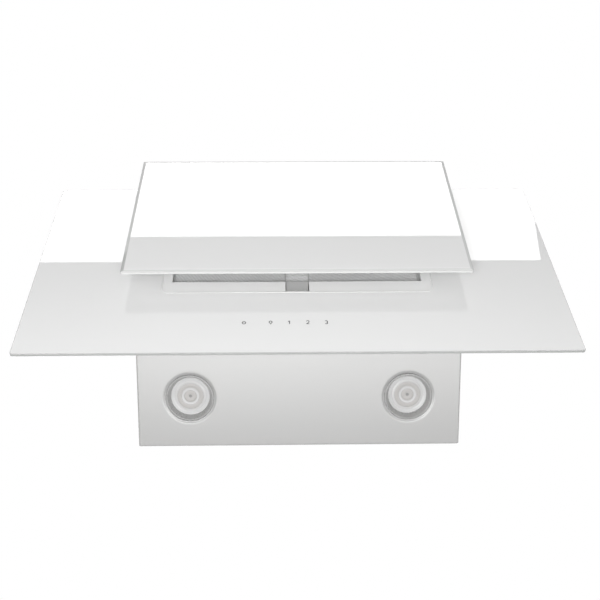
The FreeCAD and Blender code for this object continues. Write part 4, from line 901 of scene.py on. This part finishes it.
mesh_points = np.concatenate([ends[:, :1], mesh_points, ends[:, 1:]], axis=1)
grid = many_grids(mesh_points)
make_piece("expanded_mesh", [grid], "mesh_aluminium", "cabinet", ["filter_mesh"], smooth=False)

FOIL_MIDDLE_N, FOIL_WAVE, FOIL_T, FOIL_STEP = -12.6, 0.3, 0.3, 2.0
foil_x = np.arange(-MESH_HALF_X + 1.0, MESH_HALF_X - 0.9, FOIL_STEP)[:, None]
foil_u = np.arange(MESH_U0 + 1.0, MESH_U1 - 0.9, FOIL_STEP)[None, :]
swell = 2 * crimp_height(foil_x, foil_u) - 1
front = on_slope(foil_x, foil_u, FOIL_MIDDLE_N + FOIL_WAVE * swell + FOIL_T / 2)
back = on_slope(foil_x, foil_u, FOIL_MIDDLE_N + FOIL_WAVE * swell - FOIL_T / 2)
shell = np.concatenate([front, back[:, ::-1]], axis=1)
sides = [np.stack([front[k], back[k]]) for k in (0, -1)]
foil_surfaces = [many_grids(shell[None])] + [many_grids(s[None], wrap_columns=False) for s in sides]
make_piece("crimped_foil", foil_surfaces, "mesh_aluminium", "cabinet", ["filter_mesh"])

# %% [markdown]
# ## Rim of the surround
#
# The surround fills the cut-out in the glass, and its rim is rolled over to meet the glass in a thin rounded
# bead that catches the light. The bead is a round section carried along a rectangle with rounded corners.

# %% Roll the rim
CUT_HALF_X, CUT_U0, CUT_U1, CUT_R = 228.7, 158.3, 465.7, 11.7
BEAD_R, BEAD_N, BEAD_SIDES = 0.65, -0.25, 10


def rounded_loop(half_x, u0, u1, radius, steps=16):
    """A closed loop with a quarter circle at each corner, and the loop's sideways direction at each point."""
    a = np.linspace(0.0, np.pi / 2, steps)
    a = np.concatenate([a + k * np.pi / 2 for k in range(4)])
    quarter = np.arange(4).repeat(steps)
    sign_x, sign_u = np.array([1, -1, -1, 1])[quarter], np.array([1, 1, -1, -1])[quarter]
    centre_x = sign_x * (half_x - radius)
    centre_u = (u0 + u1) / 2 + sign_u * ((u1 - u0) / 2 - radius)
    return np.stack([centre_x + radius * np.cos(a), centre_u + radius * np.sin(a)], -1), np.stack([np.cos(a), np.sin(a)], -1)


loop, sideways = rounded_loop(CUT_HALF_X, CUT_U0, CUT_U1, CUT_R)
a = (np.arange(BEAD_SIDES) * 2 * np.pi / BEAD_SIDES)[None, :]
bead_x = loop[:, :1] + BEAD_R * np.cos(a) * sideways[:, :1]
bead_u = loop[:, 1:] + BEAD_R * np.cos(a) * sideways[:, 1:]
bead = many_grids(on_slope(bead_x, bead_u, BEAD_N + BEAD_R * np.sin(a))[None], wrap_rows=True)
# The bead's finish is painted whiter than the surround: a painted highlight.
make_piece("surround_rim", [bead], "white_enamel_rim_highlight", "cabinet")

# %% [markdown]
# ## Touch marks
#
# Five marks are printed on the glass: a power sign, a lamp sign and the speeds 1, 2 and 3. Each is drawn as
# strokes: a flat ribbon of even width that follows a line in the plane of the glass, as thin as ink.

# %% Print the touch marks
INK_WIDTH, INK_LOW, INK_HIGH = 1.5, 0.02, 0.06
MARKS_U = 76.0


def arc(x, u, radius, start, end, steps=22):
    """Points of an arc from start to end degrees, anticlockwise when end is larger."""
    a = np.radians(np.linspace(start, end, steps))
    return np.stack([x + radius * np.cos(a), u + 1.25 * radius * np.sin(a)], axis=-1)


def stroke(line, at_x):
    """A ribbon along a line: the line plus and minus half a width times its sideways direction."""
    line = np.asarray(line, float)
    along = np.gradient(line, axis=0)
    along /= np.linalg.norm(along, axis=1, keepdims=True)
    sideways = np.stack([-along[:, 1], along[:, 0]], axis=-1) * INK_WIDTH / 2
    left, right = line + sideways, line - sideways
    ring = [(left, INK_LOW), (right, INK_LOW), (right, INK_HIGH), (left, INK_HIGH)]
    rows = np.stack([on_slope(at_x + p[:, 0], MARKS_U + p[:, 1], n) for p, n in ring], axis=1)
    ends = rows[[0, -1]].mean(axis=1, keepdims=True).repeat(4, axis=1)
    return many_grids(np.concatenate([ends[:1], rows, ends[1:]])[None])


MARKS = {
    "mark_power": (-88.0, [arc(0, 0, 2.7, 125, 415), [(0, 0.4), (0, 2.0), (0, 4.2)]]),
    "mark_light": (-45.0, [arc(0, 1.0, 2.3, -60, 240), [(-1.2, -2.6), (0, -2.6), (1.2, -2.6)], [(-0.8, -4.0), (0, -4.0), (0.8, -4.0)]]),
    "mark_1": (-15.0, [[(-1.5, 2.2), (-0.6, 3.1), (0.2, 4.0)], [(0.5, 4.3), (0.5, 0.0), (0.5, -4.3)]]),
    "mark_2": (15.0, [np.concatenate([arc(0, 1.7, 2.1, 165, -35, 14), [(-0.6, -2.2), (-2.0, -3.7)]]), [(-2.4, -3.9), (0, -3.9), (2.4, -3.9)]]),
    "mark_3": (45.0, [arc(-0.1, 2.0, 1.8, 150, -80, 14), arc(-0.1, -1.9, 2.0, 80, -150, 14)]),
}
for name, (at_x, lines) in MARKS.items():
    make_piece(name, [stroke(line, at_x) for line in lines], "grey_ink", "cabinet", smooth=False)

# %% [markdown]
# ## Latch springs
#
# Two small springs push the filter latch shut. Each is a round wire carried along a helix. The place of the
# springs' fixed upper end is worked out, and the piece gets a mesh of its own.

# %% Wind the springs
SPRINGS_X, SPRING_U, SPRING_N, SPRING_LENGTH = (-9.0, 9.0), 166.55, -9.35, 20.0
COIL_R, WIRE_R, TURNS, WIRE_SIDES = 1.2, 0.22, 8, 10
turn = np.linspace(0.0, 2 * np.pi * TURNS, 26 * TURNS)
line = np.stack([COIL_R * np.cos(turn), SPRING_LENGTH * turn / turn[-1], COIL_R * np.sin(turn)], axis=-1)
radial = np.stack([np.cos(turn), 0 * turn, np.sin(turn)], axis=-1)
a = np.arange(WIRE_SIDES) * 2 * np.pi / WIRE_SIDES
wire_r = np.full(len(turn), WIRE_R)
wire_r[[0, -1]] = 0.0
wire = line[:, None] + wire_r[:, None, None] * (np.cos(a)[:, None] * radial[:, None] + np.sin(a)[:, None] * (0.0, 1.0, 0.0))
coils = [on_slope(x0 + wire[..., 0], SPRING_U + wire[..., 1], SPRING_N + wire[..., 2]) for x0 in SPRINGS_X]
springs = make_piece("return_springs", [many_grids(np.stack(coils))], "latch_steel", "cabinet", ["latch_springs"])
spring_top = on_slope(0.0, SPRING_U + SPRING_LENGTH + WIRE_R, SPRING_N)
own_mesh(springs)

# %% [markdown]
# ## Screws on the top
#
# The top plate and the outlet collar are held by pan-head screws. The head is one surface over a disc: a
# dome whose height falls off like an ellipse, less a cross-shaped recess with sloping walls.

# %% Make the top screws
HEAD_R, HEAD_H, SHANK_R, SHANK_L = 3.8, 2.2, 2.0, 7.0
CROSS_ARM, CROSS_HALF, CROSS_DEPTH = 2.1, 0.5, 1.3
top_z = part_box("top_plate")[1][2]
collar_low, collar_high = (np.array(corner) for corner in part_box("outlet_spigot"))
SIDE_X, SIDE_YS = 247.0, (-40.0, -165.0, -290.0)
COLLAR_X, COLLAR_YS, COLLAR_FOOT = 60.0, (-169.0, -11.0), 1.5
seats = [(s * SIDE_X, y, 0.0) for s in (-1, 1) for y in SIDE_YS] + [(s * COLLAR_X, y, COLLAR_FOOT) for s in (-1, 1) for y in COLLAR_YS]
r = np.concatenate([np.linspace(0.0, 2.6, 12), np.linspace(2.9, HEAD_R, 6)])[:, None]
a = (np.arange(48) * 2 * np.pi / 48)[None, :]
sx, sy = r * np.cos(a), r * np.sin(a)
dome = HEAD_H * np.sqrt(np.maximum(0.0, 1 - (r / HEAD_R) ** 2 * 0.72)) + 0 * a
arm = np.maximum(np.minimum(CROSS_ARM - np.abs(sx), CROSS_HALF - np.abs(sy)), np.minimum(CROSS_ARM - np.abs(sy), CROSS_HALF - np.abs(sx)))
dome -= CROSS_DEPTH * np.clip(arm / 0.3, 0.0, 1.0)
head = np.stack([sx, sy, dome], axis=-1)
shank = [(HEAD_R, 0.0), (SHANK_R, 0.0), (SHANK_R, 0.3 - SHANK_L), (SHANK_R - 0.4, -SHANK_L), (0.0, -SHANK_L)]
shank_rings = np.stack([np.stack([rr * np.cos(a[0]), rr * np.sin(a[0]), 0 * a[0] + zz], axis=-1) for rr, zz in shank])
one_screw = np.concatenate([head, shank_rings])
places = np.array(seats)[:, None, None] + one_screw[None]
screws = many_grids(MM * places + np.array((0.0, 0.0, top_z)))
make_piece("cross_head_screws", [screws], "bright_steel", "cabinet", ["top_screws"])

# %% [markdown]
# ## Cable gland
#
# The mains lead leaves through a gland on the top: a six-sided nut under a ribbed dome. Both are one turned
# surface whose radius also depends on the angle: a hexagon lower down and fluted higher up.

# %% Make the gland
GLAND_X, GLAND_Y = -190.0, -60.0
GLAND = [  # radius, height, how six-sided, how fluted
    (4.3, -9.0, 0, 0), (8.0, -9.0, 0, 0), (8.0, -5.0, 0, 0), (11.4, -5.0, 1, 0), (11.4, -1.1, 1, 0), (8.0, -1.1, 0, 0),
    (8.0, 0.0, 0, 0), (11.2, 0.0, 1, 0), (11.9, 0.5, 1, 0), (11.9, 5.5, 1, 0), (11.2, 6.0, 1, 0), (9.5, 6.1, 0, 0),
    (9.5, 6.5, 0, 0.3), (9.5, 7.5, 0, 1), (9.5, 13.0, 0, 1), (9.1, 14.4, 0, 0.9), (8.4, 16.0, 0, 0.5), (7.6, 17.3, 0, 0),
    (6.6, 17.9, 0, 0), (5.2, 18.0, 0, 0), (4.5, 17.6, 0, 0), (4.3, 16.8, 0, 0)]
FLUTES, FLUTE_DEPTH = 18, 0.55
a = (np.arange(216) * 2 * np.pi / 216)[None, :]
radius, height, sixness, fluting = (column[:, None] for column in np.array(GLAND).T)
sixth = np.pi / 3
hexagon = math.cos(sixth / 2) / np.cos(np.mod(a, sixth) - sixth / 2)
ribbed = radius * (1 + sixness * (hexagon - 1)) - fluting * FLUTE_DEPTH * (0.5 - 0.5 * np.cos(FLUTES * a))
gland_points = np.stack([GLAND_X + ribbed * np.cos(a), GLAND_Y + ribbed * np.sin(a), height + 0 * a], axis=-1)
gland = many_grids(MM * gland_points[None] + np.array((0.0, 0.0, top_z)), wrap_rows=True)
make_piece("ribbed_gland", [gland], "black_plastic", "cabinet", ["cable_gland"])
